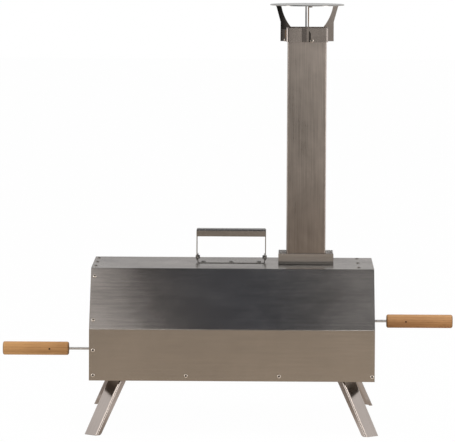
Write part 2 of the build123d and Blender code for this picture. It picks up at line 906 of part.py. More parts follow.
# Grip: a channel as wide as the handle, with a strap bent down at each end
strap_end = strap_width / 2
grip_z = roof_z + handle_rise
channel_start = Plane.YZ.offset(handle_x - handle_half)
with BuildPart() as carry_handle:
    with BuildSketch(channel_start):
        with Locations((0, grip_z - handle_flange / 2)):
            Rectangle(handle_depth, handle_flange)
    extrude(amount=handle_length)
    fillet(
        carry_handle.edges().filter_by(Axis.X).filter_by(lambda e: e.center().Z > grip_z - sheet),
        handle_edge,
    )
    with BuildSketch(channel_start) as hollow:
        with Locations((0, grip_z - handle_flange / 2 - handle_sheet)):
            Rectangle(handle_depth - 2 * handle_sheet, handle_flange)
        fillet(
            hollow.vertices().filter_by(lambda v: v.Y > grip_z - handle_flange / 2),
            handle_edge - handle_sheet,
        )
    extrude(amount=handle_length, mode=Mode.SUBTRACT)
    with BuildSketch(Plane.XZ.offset(-handle_depth / 2)) as side_view:
        with Locations((handle_x, grip_z - handle_flange / 2)):
            Rectangle(handle_length, handle_flange)
        fillet(
            side_view.vertices().filter_by(lambda v: v.Y > grip_z - handle_flange / 2),
            handle_bend,
        )
    extrude(amount=handle_depth, mode=Mode.INTERSECT)
    extrude(
        bent_strip(
            Plane.XZ.offset(-strap_width / 2),
            [
                (handle_x - handle_half, pivot_z - strap_end),
                (handle_x - handle_half, grip_z),
                (handle_x + handle_half, grip_z),
                (handle_x + handle_half, pivot_z - strap_end),
            ],
            handle_bend,
            handle_sheet,
            Side.RIGHT,
        ),
        amount=strap_width,
    )
    fillet(
        carry_handle.edges()
        .filter_by(Axis.X)
        .filter_by(lambda e: e.center().Z < pivot_z),
        strap_end - seat_gap,
    )
    with BuildSketch(channel_start):
        with Locations((0, pivot_z)):
            Circle(pivot_radius + running_gap)
    extrude(amount=handle_length, mode=Mode.SUBTRACT)
carry_handle.part.label = "carry_handle"

handle_bolts = []
handle_nuts = []
for side in SIDES:
    bolt_seat = Plane(
        origin=(handle_x + side * (handle_half + head_gap), 0, pivot_z),
        x_dir=(0, 1, 0),
        z_dir=(side, 0, 0),
    )
    nut_seat = Plane(
        origin=(handle_x + side * (ear_face - ear_sheet), 0, pivot_z),
        x_dir=(0, 1, 0),
        z_dir=(-side, 0, 0),
    )
    bolt_length = handle_sheet + ear_gap + ear_sheet + pivot_nut_height + seat_gap
    handle_bolts.append(
        fastener(bolt_seat, pivot_head_radius, pivot_head_height, pivot_radius, bolt_length)
    )
    handle_nuts.append(
        ring_nut(nut_seat, pivot_nut_width, pivot_nut_height, pivot_radius + bore_gap)
    )

# Legs: folded channels on brackets under the corners of the pan
turn = radians(leg_turn)
lean = radians(leg_lean)
pan_underside = pan_z - sheet
pivot_drop = leg_head * cos(lean) + web_offset * sin(lean) + leg_stop_gap
leg_pivot_z = pan_underside - pivot_drop
foot_run = (web_offset + leg_pivot_z * sin(lean)) / cos(lean)
leg_length = (leg_pivot_z + leg_flange) / cos(lean) + web_offset
channel_inner = leg_web / 2 - leg_sheet
cheek_outer = channel_inner - cheek_gap


def leg_frame(sx, sy):
    """Pivot point and the outward, hinge and down directions of one leg."""
    outward = Vector(sx * cos(turn), sy * sin(turn), 0)
    hinge = Vector(0, 0, 1).cross(outward)
    down = outward * sin(lean) - Vector(0, 0, cos(lean))
    foot = Vector(body_x + sx * foot_x, sy * foot_y, leg_pivot_z)
    return foot - outward * foot_run, outward, hinge, down


def rivet_planes(sx, sy):
    """The places of the two rivets that hold one bracket, on its plate's lower face."""
    pivot, outward, hinge, down = leg_frame(sx, sy)
    low = pivot + Vector(0, 0, pivot_drop - leg_sheet)
    return [
        Plane(origin=low - outward * run, x_dir=outward, z_dir=(0, 0, -1))
        for run in bracket_rivet_runs
    ]


LEG_CORNERS = {
    "front_near": (1, -1),
    "front_far": (1, 1),
    "rear_near": (-1, -1),
    "rear_far": (-1, 1),
}
bracket_rivet_seats = [
    seat for sx, sy in LEG_CORNERS.values() for seat in rivet_planes(sx, sy)
]
bracket_rivet_holes = drill(bracket_rivet_seats, rivet_shank_radius + hole_gap, screw_length)


def leg(sx, sy):
    """A channel of folded sheet, web outwards, its sides narrower at the foot."""
    pivot, outward, hinge, down = leg_frame(sx, sy)
    across = Plane(origin=pivot - down * leg_head, x_dir=hinge, z_dir=down)
    along = Plane(origin=pivot - hinge * leg_web, x_dir=outward, z_dir=hinge)
    side_view = Plane(origin=along.origin, x_dir=down, z_dir=hinge)
    flange_y = web_offset - leg_flange
    toe_y = web_offset - foot_flange
    with BuildPart() as channel:
        extrude(
            bent_strip(
                across,
                [
                    (-leg_web / 2, flange_y),
                    (-leg_web / 2, web_offset),
                    (leg_web / 2, web_offset),
                    (leg_web / 2, flange_y),
                ],
                leg_bend,
                leg_sheet,
                Side.RIGHT,
            ),
            amount=leg_head + leg_length,
        )
        with BuildSketch(side_view):
            with BuildLine():
                Polyline(
                    (0, -flange_y),
                    (leg_length, -toe_y),
                    (leg_length, leg_flange),
                    (0, leg_flange),
                    close=True,
                )
            make_face()
        extrude(amount=2 * leg_web, mode=Mode.SUBTRACT)
        split(bisect_by=Plane.XY, keep=Keep.TOP)
        toe_edges = (
            channel.edges()
            .filter_by(lambda e: e.center().Z < leg_sheet / 2)
            .filter_by(lambda e: e.length < leg_sheet + bore_gap)
            .filter_by(Axis(pivot, hinge))
        )
        fillet(toe_edges, leg_toe_radius)
        with BuildSketch(along):
            Circle(leg_bolt_radius + running_gap)
        extrude(amount=2 * leg_web, mode=Mode.SUBTRACT)
    return channel.part


def leg_bracket(sx, sy):
    """A small folded bracket under the pan: a riveted plate and two cheeks."""
    pivot, outward, hinge, down = leg_frame(sx, sy)
    cheek_plane = Plane(origin=pivot + hinge * cheek_outer, x_dir=outward, z_dir=-hinge)
    plate_low = pivot_drop - leg_sheet
    reach = (cheek_radius - plate_low * sin(lean)) / cos(lean)
    tangent_x = cheek_radius * cos(lean)
    tangent_z = cheek_radius * sin(lean)
    with BuildPart() as bracket:
        with BuildSketch(cheek_plane):
            Circle(cheek_radius)
            with BuildLine():
                Polyline(
                    (tangent_x, tangent_z),
                    (reach, plate_low),
                    (-bracket_length / 2, plate_low),
                    (-cheek_radius * sin(lean), -cheek_radius * cos(lean)),
                    close=True,
                )
            make_face()
        extrude(amount=2 * cheek_outer)
        with BuildSketch(cheek_plane.offset(leg_sheet)):
            Rectangle(2 * bracket_length, 2 * bracket_length)
        extrude(amount=2 * (cheek_outer - leg_sheet), mode=Mode.SUBTRACT)
        with BuildSketch(cheek_plane):
            with Locations((reach - bracket_length / 2, pivot_drop - leg_sheet / 2)):
                Rectangle(bracket_length, leg_sheet)
        extrude(amount=2 * cheek_outer)
        with BuildSketch(cheek_plane):
            Circle(leg_bolt_radius + running_gap)
        extrude(amount=2 * cheek_outer, mode=Mode.SUBTRACT)
        add(bracket_rivet_holes, mode=Mode.SUBTRACT)
    return bracket.part


# Base pan: the floor, with its edges turned down inside the walls
pan_length = body_length - 2 * sheet
pan_width = body_width - 2 * sheet
with BuildPart() as base_pan:
    with BuildSketch(Plane.XY.offset(ground_gap)):
        with Locations((body_x, 0)):
            Rectangle(pan_length, pan_width)
    extrude(amount=pan_rise)
    with BuildSketch(Plane.XY.offset(ground_gap)):
        with Locations((body_x, 0)):
            Rectangle(pan_length - 2 * sheet, pan_width - 2 * sheet)
    extrude(amount=pan_rise - sheet, mode=Mode.SUBTRACT)
    add(sheet_holes, mode=Mode.SUBTRACT)
    add(bracket_rivet_holes, mode=Mode.SUBTRACT)
base_pan.part.label = "base_pan"

legs = {}
leg_brackets = {}
leg_bolts = []
leg_nuts = []
for name, (sx, sy) in LEG_CORNERS.items():
    legs["leg_" + name] = leg(sx, sy)
    leg_brackets["leg_bracket_" + name] = leg_bracket(sx, sy)
    pivot, outward, hinge, down = leg_frame(sx, sy)
    head_seat = Plane(
        origin=pivot + hinge * (leg_web / 2 + head_gap), x_dir=outward, z_dir=hinge
    )
    tail_seat = Plane(
        origin=pivot - hinge * (leg_web / 2 + head_gap), x_dir=outward, z_dir=-hinge
    )
    leg_bolts.append(
        fastener(
            head_seat,
            leg_bolt_head_radius,
            leg_bolt_head,
            leg_bolt_radius,
            leg_web + nut_height + seat_gap,
        )
    )
    leg_nuts.append(ring_nut(tail_seat, nut_width, nut_height, leg_bolt_radius + bore_gap))

# Groups of like fasteners
body_screws = [
    fastener(seat, screw_head_radius, screw_head_height, screw_radius, 2 * sheet + shank_end)
    for seat in screw_seats
]
socket_screw_set = [
    fastener(seat, screw_head_radius, screw_head_height, screw_radius, 3 * sheet + shank_end)
    for seat in socket_screws
]
cap_screws = [
    fastener(seat, screw_head_radius, screw_head_height, screw_radius, cap_screw_length)
    for seat in cap_screw_seats
]
handle_rivets = [
    fastener(seat, rivet_radius, rivet_height, rivet_shank_radius, ear_sheet + sheet + shank_end)
    for seat in rivet_seats
]
bracket_rivets = [
    fastener(
        seat,
        bracket_rivet_radius,
        bracket_rivet_height,
        rivet_shank_radius,
        leg_sheet + sheet + bracket_rivet_height,
    )
    for seat in bracket_rivet_seats
]

pieces = {
    "outer_shell": outer_shell.part,
    "base_pan": base_pan.part,
    "rear_panel": rear_panel.part,
    "front_frame": front_frame.part,
    "pizza_stone": pizza_stone.part,
    "flame_guard": flame_guard.part,
    "fire_tray": fire_tray.part,
    "fire_grate": fire_grate.part,
    "tray_front": tray_front.part,
    "tray_rod": tray_rod,
    "tray_grip": tray_grip,
    "tray_grip_pin": tray_grip_pin,
    "tray_rod_nuts": tray_rod_nuts,
    "door_panel": door_panel.part,
    "door_inner": door_inner.part,
    "door_rod": door_rod,
    "door_grip": door_grip,
    "door_grip_pin": door_grip_pin,
    "door_rod_nuts": door_rod_nuts,
    "flue_socket": flue_socket.part,
    "flue_spigot": flue_spigot.part,
    "flue_tube": flue_tube.part,
    "cap_collar": cap_collar.part,
    "rain_cap": rain_cap.part,
    "handle_base": handle_base.part,
    "carry_handle": carry_handle.part,
    "handle_bolts": Compound(children=handle_bolts),
    "handle_nuts": Compound(children=handle_nuts),
    "handle_rivets": Compound(children=handle_rivets),
    "leg_bracket_rivets": Compound(children=bracket_rivets),
    "leg_bolts": Compound(children=leg_bolts),
    "leg_nuts": Compound(children=leg_nuts),
    "body_screws": Compound(children=body_screws),
    "socket_screws": Compound(children=socket_screw_set),
    "cap_screws": Compound(children=cap_screws),
}
pieces.update(stone_rails)
pieces.update(tray_runners)
pieces.update(cap_arms)
pieces.update(legs)
pieces.update(leg_brackets)

os.makedirs("parts", exist_ok=True)
for name, piece in pieces.items():
    piece.label = name
    export_step(piece, "parts/" + name + ".step")
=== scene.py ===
"""Looks of the tabletop pizza oven: brushed steel sheets, wooden grips, screws and studio."""

import math

import bmesh
import bpy
import numpy as np
from mathutils import Matrix, Vector


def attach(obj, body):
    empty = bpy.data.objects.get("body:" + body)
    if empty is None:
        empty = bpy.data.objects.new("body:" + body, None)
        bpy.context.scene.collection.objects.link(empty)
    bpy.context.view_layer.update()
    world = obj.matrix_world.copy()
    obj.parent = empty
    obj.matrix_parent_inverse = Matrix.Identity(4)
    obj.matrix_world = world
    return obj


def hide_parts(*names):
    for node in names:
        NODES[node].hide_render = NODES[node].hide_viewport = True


bl_info = {
    "name": "Tabletop pizza oven looks",
    "version": (1, 0, 0),
    "blender": (4, 5, 0),
    "location": "View3D > Sidebar > Pizza oven",
    "description": "Dresses the pizza oven frame in brushed steel, wood and small fasteners",
    "category": "Object",
}

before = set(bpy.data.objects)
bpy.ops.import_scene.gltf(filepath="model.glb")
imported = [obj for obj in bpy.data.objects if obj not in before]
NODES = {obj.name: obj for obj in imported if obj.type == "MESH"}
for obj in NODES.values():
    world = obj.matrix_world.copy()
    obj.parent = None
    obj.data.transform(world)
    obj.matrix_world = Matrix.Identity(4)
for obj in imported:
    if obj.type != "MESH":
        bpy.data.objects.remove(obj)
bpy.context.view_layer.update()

MM = 0.001

# The oven lies with its fire end at -x, its door end at +x and its near side at -y.
BODY_MIDDLE = 8 * MM
HALF_WIDTH = 175 * MM
GROUND_GAP = 80 * MM
WALL_HEIGHT = 78 * MM
SLOPE_RUN = 80 * MM
SLOPE_RISE = 85 * MM
SLOPE_ANGLE = math.atan2(SLOPE_RISE, SLOPE_RUN)
KNEE = GROUND_GAP + WALL_HEIGHT
ROOF = KNEE + SLOPE_RISE

FLUE_MIDDLE = BODY_MIDDLE + 111.7 * MM
HANDLE_MIDDLE = BODY_MIDDLE - 3 * MM

# The height above which painted shade darkens the left arm of the cap.
ARM_SHADE = ROOF + 360 * MM

# Legs: their turn in plan, their lean, the bolt's place from the body's middle, the near
# and far edge from the bolt of a painted highlight along a fold line, and the signs of each
# corner.
LEG_TURN = math.radians(46.3)
LEG_LEAN = math.radians(32.3)
LEG_BOLT = (171.789 * MM, 151.503 * MM, 82.689 * MM)
LEG_FOLD_HIGHLIGHT = (10.6 * MM, 13.2 * MM)
LEG_CORNERS = {
    "front_near": (1, -1),
    "front_far": (1, 1),
    "rear_near": (-1, -1),
    "rear_far": (-1, 1),
}

# Body screws: places along x from the body's middle, heights above the wall's foot,
# shares of the slope's rise, and on the roof a place along x with the spacing across.
LOW_SCREWS = (-209 * MM, -69 * MM, 71 * MM, 211 * MM)
LOW_HEIGHT = 7.8 * MM
END_SCREWS = -209 * MM
END_HEIGHT = 45.7 * MM
SLOPE_SHARES = (0.146, 0.863)
ROOF_SCREWS = ((-209 * MM, 64 * MM), (192 * MM, 75 * MM))

# Socket screws: places along x and y from the flue's middle, and the socket's floor.
SOCKET_SCREWS = (35.2 * MM, 27 * MM)
SOCKET_FLOOR = ROOF + 1 * MM

# Cap screws: a place out from the flue's middle, to one side of the arm, and a height.
CAP_SCREW = (34 * MM, 6.9 * MM, ROOF + 344 * MM)

# Handle rivets: their spacing and the top of the handle's base.
RIVET_SPACING = 42.3 * MM
BASE_TOP = ROOF + 1.2 * MM

# Turned heads: steps round a head, the shares of its height at which its crown ends and
# its rim has one more ring, the shank, and the depth of the cross recess with its reach
# as a share of the radius. The soft edges are shares of the recess width.
TURN_STEPS = 32
CROWN_FOOT = 0.25
RIM_RING = 0.12
SCREW_SHANK = 1.5 * MM
RECESS_DEPTH = 1.2 * MM
RECESS_REACH = 0.55
RECESS_SIDE_EDGE = 0.25
RECESS_END_EDGE = 0.15

SCREW_COLOUR = (0.86, 0.78, 0.70)
RIVET_COLOUR = (0.26, 0.25, 0.24)
BOLT_COLOUR = (0.26, 0.26, 0.25)
ROD_COLOUR = (0.55, 0.54, 0.53)
PIN_COLOUR = (0.05, 0.03, 0.02)

# Blender's noise mostly stays between these two values.
NOISE_LOW, NOISE_HIGH = 0.3, 0.7

# Blender's ring texture of scale 1 has about three rings in each metre.
RINGS_PER_METRE = 3

# How much rougher the sheet inside the socket is, and by how much painted light lifts its
# colour there; and how far the darker ends of a grip reach.
INSIDE_ROUGHER = 0.4
INSIDE_PAINTED_LIGHT = (1.8, 1.8, 1.8)
DARK_END_REACH = 2.5 * MM

# The photo's camera: its turn, rise and roll, its aim, and its focal length and the
# picture's width in pixels.
CAMERA_TURN = math.radians(0.499)
CAMERA_RISE = math.radians(4.742)
CAMERA_ROLL = math.radians(0.274)
CAMERA_AIM = Vector((-0.993 * MM, 0, 307.407 * MM))
FOCAL_PIXELS = 4472
PICTURE_PIXELS = 455

# The floor runs so far each way. What the camera and the metal see of it is white by this
# share and shadowed paper by the rest. The surround lights the oven less than it is seen.
FLOOR_REACH = 12
FLOOR_WHITE = 0.985
SURROUND_LIGHT, SURROUND_SEEN = 0.5, 1.0

# Heights of the cards that lie on the floor, the lowest nearest the oven's middle.
SHADE_HEIGHT = 0.4 * MM
NEAR_HEIGHT = 2 * MM
SIDE_HEIGHT = 3 * MM

# The overhead board's height, how far below it the lift card hangs, the angle by which
# the board's tones are skewed, and how far before the oven's middle they keep their place.
OVERHEAD = 0.85
LIFT_BELOW = 5 * MM
SKEW = math.radians(18)
SKEW_PLACE = 228 * MM

# What all colour settings share.
RGB = {"size": 3, "min": 0, "max": 1}


class SteelSettings(bpy.types.PropertyGroup):
    """Colours and brushing of the steel sheets."""

    body_colour: bpy.props.FloatVectorProperty(
        name="Body colour",
        description="Colour of the folded body sheets, the rain cap and the handle",
        default=(0.46, 0.43, 0.40),
        subtype="COLOR",
        **RGB,
    )
    socket_colour: bpy.props.FloatVectorProperty(
        name="Socket colour",
        description="Colour of the socket round the flue's foot",
        default=(0.545, 0.53, 0.52),
        subtype="COLOR",
        **RGB,
    )
    flue_colour: bpy.props.FloatVectorProperty(
        name="Flue colour",
        description="Warm colour of the brushed flue",
        default=(0.461, 0.40, 0.358),
        subtype="COLOR",
        **RGB,
    )
    collar_colour: bpy.props.FloatVectorProperty(
        name="Collar colour",
        description="Colour of the cap's collar and arms",
        default=(0.466, 0.407, 0.37),
        subtype="COLOR",
        **RGB,
    )
    leg_colour: bpy.props.FloatVectorProperty(
        name="Leg colour",
        description="Colour of the folded legs and their brackets",
        default=(0.42, 0.37, 0.34),
        subtype="COLOR",
        **RGB,
    )
    inner_colour: bpy.props.FloatVectorProperty(
        name="Inner colour",
        description="Colour of the sheets inside and under the oven",
        default=(0.50, 0.475, 0.445),
        subtype="COLOR",
        **RGB,
    )
    streak_width: bpy.props.FloatProperty(
        name="Brush streak width",
        description="Width of the fine brushing streaks across the grain",
        default=0.0009,
        min=0.0002,
        max=0.01,
        unit="LENGTH",
        precision=5,
    )


class WoodSettings(bpy.types.PropertyGroup):
    """Colours and grain of the turned grips."""

    light: bpy.props.FloatVectorProperty(
        name="Light wood",
        description="Colour of the wood between its grain lines",
        default=(0.66, 0.345, 0.13),
        subtype="COLOR",
        **RGB,
    )
    dark: bpy.props.FloatVectorProperty(
        name="Grain",
        description="Colour of the grain lines",
        default=(0.33, 0.145, 0.045),
        subtype="COLOR",
        **RGB,
    )
    ring_width: bpy.props.FloatProperty(
        name="Ring width",
        description="Distance between growth rings",
        default=0.0032,
        min=0.0005,
        max=0.02,
        unit="LENGTH",
        precision=5,
    )


class ScrewSettings(bpy.types.PropertyGroup):
    """Sizes of the sheet screws' heads."""

    head_radius: bpy.props.FloatProperty(
        name="Head radius",
        description="Radius of a sheet screw's head",
        default=0.0028,
        min=0.001,
        max=0.006,
        unit="LENGTH",
        precision=5,
    )
    head_height: bpy.props.FloatProperty(
        name="Head height",
        description="Height of a sheet screw's head above the sheet",
        default=0.0018,
        min=0.0005,
        max=0.004,
        unit="LENGTH",
        precision=5,
    )
    recess_width: bpy.props.FloatProperty(
        name="Recess width",
        description="Width of one arm of the cross recess",
        default=0.0016,
        min=0.0002,
        max=0.002,
        unit="LENGTH",
        precision=5,
    )


class StudioSettings(bpy.types.PropertyGroup):
    """Floor, lamp and camera."""

    floor_tone: bpy.props.FloatProperty(
        name="Floor tone",
        description="Paleness of the floor",
        default=0.95,
        min=0,
        max=1,
        subtype="FACTOR",
    )
    lamp_power: bpy.props.FloatProperty(
        name="Overhead lamp",
        description="Power of the large overhead lamp",
        default=29.0,
        min=0,
        unit="POWER",
    )
    camera_distance: bpy.props.FloatProperty(
        name="Camera distance",
        description="Distance from the camera to the oven's middle",
        default=6.882,
        min=1,
        unit="LENGTH",
    )


class Finish:
    """A material whose nodes are added one after another."""

    def __init__(self, name):
        self.material = bpy.data.materials.new(name)
        self.material.use_nodes = True
        self.tree = self.material.node_tree
        self.tree.nodes.clear()
        self.lay = None
        self.output = self.add("ShaderNodeOutputMaterial")

    def add(self, kind, **settings):
        """A new node with its own settings, such as its operation or data type."""
        node = self.tree.nodes.new(kind)
        for key, value in settings.items():
            setattr(node, key, value)
        return node

    def fill(self, socket, value):
        """Links another node's socket, or sets a value; a colour is given as three numbers."""
        if isinstance(value, bpy.types.NodeSocket):
            self.tree.links.new(value, socket)
        else:
            socket.default_value = (*value, 1) if socket.type == "RGBA" else value

    def feed(self, node, **inputs):
        """Fills inputs by name, with underscores for spaces."""
        for key, value in inputs.items():
            self.fill(node.inputs[key.replace("_", " ")], value)
        return node

    def surface(self, shader):
        """Puts a shader on the material's output."""
        self.feed(self.output, Surface=shader.outputs[0])

    def coordinates(self, scale=(1, 1, 1), place=(0, 0, 0), turn=(0, 0, 0)):
        """Object coordinates moved, turned and stretched, after the lay of a leaning piece."""
        source = self.add("ShaderNodeTexCoord").outputs["Object"]
        if self.lay:
            laid = self.add("ShaderNodeMapping")
            source = self.feed(laid, Vector=source, Rotation=self.lay).outputs["Vector"]
        mapping = self.add("ShaderNodeMapping")
        self.feed(mapping, Vector=source, Location=place, Rotation=turn, Scale=scale)
        return mapping.outputs["Vector"]

    def noise(self, fineness, detail, roughness=0.5, distortion=0.0):
        """Grey noise with so many waves per metre along each axis."""
        node = self.add("ShaderNodeTexNoise")
        vector = self.coordinates(fineness)
        self.feed(node, Vector=vector, Scale=1.0, Detail=detail)
        self.feed(node, Roughness=roughness, Distortion=distortion)
        return node.outputs["Fac"]

    def span(self, value, low, high, start=0.0, end=1.0):
        """The value carried from start..end to low..high, and held there beyond."""
        node = self.add("ShaderNodeMapRange")
        self.feed(node, Value=value, From_Min=start, From_Max=end, To_Min=low, To_Max=high)
        return node.outputs["Result"]

    def sway(self, noise, low, high):
        """A noise carried from its usual range to low..high."""
        return self.span(noise, low, high, NOISE_LOW, NOISE_HIGH)

    def join(self, first, second, operation="ADD"):
        """Two values joined by a sum or another operation."""
        node = self.add("ShaderNodeMath", operation=operation)
        self.fill(node.inputs[0], first)
        self.fill(node.inputs[1], second)
        return node.outputs["Value"]

    def product(self, first, second):
        """One value times another."""
        return self.join(first, second, "MULTIPLY")

    def place_on(self, axis, turn=0.0):
        """The place along one axis of the object coordinates, turned about z if asked."""
        separate = self.add("ShaderNodeSeparateXYZ")
        self.feed(separate, Vector=self.coordinates(turn=(0, 0, turn)))
        return separate.outputs[axis]

    def within(self, axis, low, high):
        """1 between two places on an axis of the object coordinates, 0 outside."""
        place = self.place_on(axis)
        above = self.join(place, low, "GREATER_THAN")
        return self.product(above, self.join(place, high, "LESS_THAN"))

    def window(self, axis, low, high, share):
        """A share between two places on an axis, 1 outside."""
        return self.span(self.within(axis, low, high), 1.0, share)

    def fade(self, axis, start, end, first, last):
        """A share that runs from first to last between two places on an axis."""
        return self.span(self.place_on(axis), first, last, start, end)

    def blend(self, factor, first, second, mode="MIX"):
        """Two colours mixed by a factor."""
        node = self.add("ShaderNodeMix", data_type="RGBA", blend_type=mode)
        for place, value in ((0, factor), (6, first), (7, second)):
            self.fill(node.inputs[place], value)
        return node.outputs[2]

    def tint(self, colour, share):
        """A colour times a tone or another colour."""
        return self.blend(1.0, colour, share, "MULTIPLY")

    def bump(self, height, strength, distance):
        """A bumped normal, where a height of 1 stands for so many metres."""
        node = self.add("ShaderNodeBump")
        self.feed(node, Height=height, Strength=strength, Distance=distance)
        return node.outputs["Normal"]

    def shade(self, **inputs):
        """A Principled shader on the material's output."""
        self.surface(self.feed(self.add("ShaderNodeBsdfPrincipled"), **inputs))
        return self.material


def brushed_steel(
    name,
    colour,
    along,
    streak,
    roughness,
    grain,
    cloud,
    flat=0.7,
    patches=0.04,
    relief=0.06,
    length=90,
    broad_width=14,
    broad_grain=None,
    calm=None,
    inside=None,
    bands=(),
    fades=(),
    lay=None,
):
    """Brushed sheet: streaks along one axis, soft clouds of handling and a stretched gloss.

    The streaks are noise squeezed across the brushing and drawn out along it. A fine streak is
    one streak width wide and so many times as long as its length says; a broad one is larger
    by its broad width both ways. Grain, broad grain and cloud say by what share of the colour
    the fine streaks, the broad ones and the clouds go up and down, and patches does so for the
    roughness. Flat is how far the gloss is stretched across the brushing, and relief the
    strength of the bump.

    A window is an axis and the two places between which it lies. Inside is a window where the
    sheet is duller and painted light makes it paler, calm is one with the share of the
    streaks and clouds left in it, and each band is one with the share of the colour in it. A
    fade is an axis, two places on it and the share of the colour at each. Lay is the three
    directions of a leaning piece, which the pattern and the brushing then follow instead of
    the object's own axes.
    """
    finish = Finish(name)
    grain_axis = "XYZ".index(along)
    brushing = [float(axis == along) for axis in "XYZ"]
    if lay:
        finish.lay = Matrix(lay).to_euler()
        brushing = lay[grain_axis]
    stretch = [1 / streak] * 3
    stretch[grain_axis] /= length
    fine = finish.noise(stretch, 6.0, 0.62)
    broad = finish.noise([s / broad_width for s in stretch], 3.0)
    clouds = finish.noise((9, 9, 9), 4.0, 0.68, 0.4)
    broad_grain = broad_grain or grain / 2

    pattern = finish.join(
        finish.sway(fine, -grain, grain), finish.sway(broad, -broad_grain, broad_grain)
    )
    pattern = finish.join(pattern, finish.sway(clouds, -cloud, cloud))
    if calm:
        pattern = finish.product(pattern, finish.window(*calm))
    tone = finish.join(pattern, 1.0)
    for band in bands:
        tone = finish.product(tone, finish.window(*band))
    for fade in fades:
        tone = finish.product(tone, finish.fade(*fade))
    colours = finish.tint(colour, tone)

    wear = finish.sway(clouds, roughness - patches, roughness + patches)
    rough = finish.join(finish.sway(fine, -patches, patches), wear)
    if inside:
        share = finish.within(*inside)
        rough = finish.join(rough, finish.span(share, 0.0, INSIDE_ROUGHER))
        colours = finish.blend(share, colours, finish.tint(colours, INSIDE_PAINTED_LIGHT))

    tangent = finish.add(
        "ShaderNodeVectorTransform",
        vector_type="VECTOR",
        convert_from="OBJECT",
        convert_to="WORLD",
    )
    finish.feed(tangent, Vector=brushing)
    return finish.shade(
        Base_Color=colours,
        Metallic=1.0,
        Roughness=rough,
        Anisotropic=flat,
        Anisotropic_Rotation=0.25,
        Tangent=tangent.outputs[0],
        Normal=finish.bump(fine, relief, 0.04 * MM),
    )


def polished_steel(name, colour, roughness=0.22, above=None):
    """Small turned or pressed steel: slight mottling, fine scratches and painted shade in the
    recesses.

    Above is a height and the share of the colour, a painted shade, that pieces over it have.
    """
    finish = Finish(name)
    mottle = finish.noise((900, 900, 900), 3.0)
    scratch = finish.noise((4000, 700, 4000), 2.0)
    recess = finish.add("ShaderNodeAttribute", attribute_name="recess").outputs["Fac"]
    # The recess attribute paints shade into the cross recesses.
    tone = finish.product(finish.sway(mottle, 0.9, 1.08), finish.span(recess, 1.0, 0.03))
    if above:
        height, share = above
        tone = finish.product(tone, finish.fade("Z", height - 1 * MM, height, 1.0, share))
    return finish.shade(
        Base_Color=finish.tint(colour, tone),
        Metallic=1.0,
        Roughness=finish.sway(scratch, roughness - 0.06, roughness + 0.08),
        Normal=finish.bump(scratch, 0.1, 0.03 * MM),
    )


def turned_wood(name, light, dark, ring, heart, ends, top_light):
    """Oiled hardwood: rings round a heart beside the grip, stretched along it, with pores.

    The rings are bands of the distance from the heart line, which runs along X, bent by a
    slow noise; pores are short dark dashes along the grain. The last millimetres at both ends
    are darker. Between two heights the colour runs from one share to another, a painted sheen
    on the top of the grip and painted shade below.
    """
    finish = Finish(name)
    bend = finish.noise((14, 55, 55), 3.0)
    rings = finish.add(
        "ShaderNodeTexWave", wave_type="RINGS", rings_direction="X", wave_profile="SAW"
    )
    finish.feed(
        rings,
        Vector=finish.coordinates((0.12, 1, 1), [-c for c in heart]),
        Scale=1 / (ring * RINGS_PER_METRE),
        Distortion=1.6,
        Detail=3.0,
        Detail_Scale=0.9,
    )
    pores = finish.noise((140, 1900, 1900), 2.0)
    fibres = finish.noise((30, 900, 900), 4.0)
    grain = finish.span(rings.outputs["Fac"], 0.0, 0.42)
    grain = finish.join(grain, finish.sway(bend, -0.16, 0.30))
    grain = finish.join(grain, finish.sway(fibres, -0.08, 0.16))
    wood = finish.blend(grain, light, dark)
    wood = finish.blend(finish.span(pores, 0.0, 0.45, 0.62, 0.78), wood, [c * 0.4 for c in dark])

    along = finish.place_on("X")
    left, right = ends
    inset = finish.join(
        finish.join(along, left, "SUBTRACT"), finish.join(right, along, "SUBTRACT"), "MINIMUM"
    )
    wood = finish.tint(wood, finish.span(inset, 0.55, 1.0, 0.0, DARK_END_REACH))
    # A painted sheen on the top and painted shade below.
    bottom, top, low, high = top_light
    wood = finish.tint(wood, finish.blend(finish.fade("Z", bottom, top, 0, 1), low, high))
    sunk_pores = finish.span(pores, 0, -1.5, 0.6, 0.75)
    return finish.shade(
        Base_Color=wood,
        Roughness=finish.sway(fibres, 0.50, 0.66),
        Specular_IOR_Level=0.22,
        Normal=finish.bump(finish.join(fibres, sunk_pores), 0.35, 0.12 * MM),
    )


def stoneware(name):
    """Baking stone: sandy body with fine dark grains and pores."""
    finish = Finish(name)
    sand = finish.noise((60, 60, 60), 6.0, 0.65)
    grains = finish.add("ShaderNodeTexVoronoi", feature="F1")
    finish.feed(grains, Vector=finish.coordinates((420, 420, 420)))
    pores = finish.noise((700, 700, 700), 2.0)
    dots = finish.span(grains.outputs["Distance"], 0.35, 0, 0.0, 0.25)
    dark_sand, pale_sand, grit = (0.50, 0.40, 0.27), (0.66, 0.56, 0.42), (0.20, 0.15, 0.10)
    base = finish.blend(finish.sway(sand, 0, 1), dark_sand, pale_sand)
    return finish.shade(
        Base_Color=finish.blend(dots, base, grit),
        Roughness=0.9,
        Normal=finish.bump(finish.join(pores, sand), 0.5, 0.4 * MM),
    )


def glow(name, stops, axis="X", low=-1, high=1, turn=0.0):
    """An emitting finish whose tone runs through the stops along one axis, turned a little."""
    finish = Finish(name)
    ramp = finish.add("ShaderNodeValToRGB")
    elements = ramp.color_ramp.elements
    while len(elements) < len(stops):
        elements.new(0.5)
    for element, (place, colour) in zip(elements, stops):
        element.position = place
        element.color = (*colour, 1)
    finish.feed(ramp, Fac=finish.span(finish.place_on(axis, turn), 0, 1, low, high))
    light = finish.add("ShaderNodeEmission")
    finish.surface(finish.feed(light, Color=ramp.outputs["Color"], Strength=1.0))
    return finish.material


def plain_glow(name, colour):
    """An emitting finish of one tone."""
    return glow(name, [(0.0, colour), (1.0, colour)])


def give(material, *names):
    """Puts one material on CAD nodes."""
    for name in names:
        node = NODES[name]
        node.data.materials.clear()
        node.data.materials.append(material)


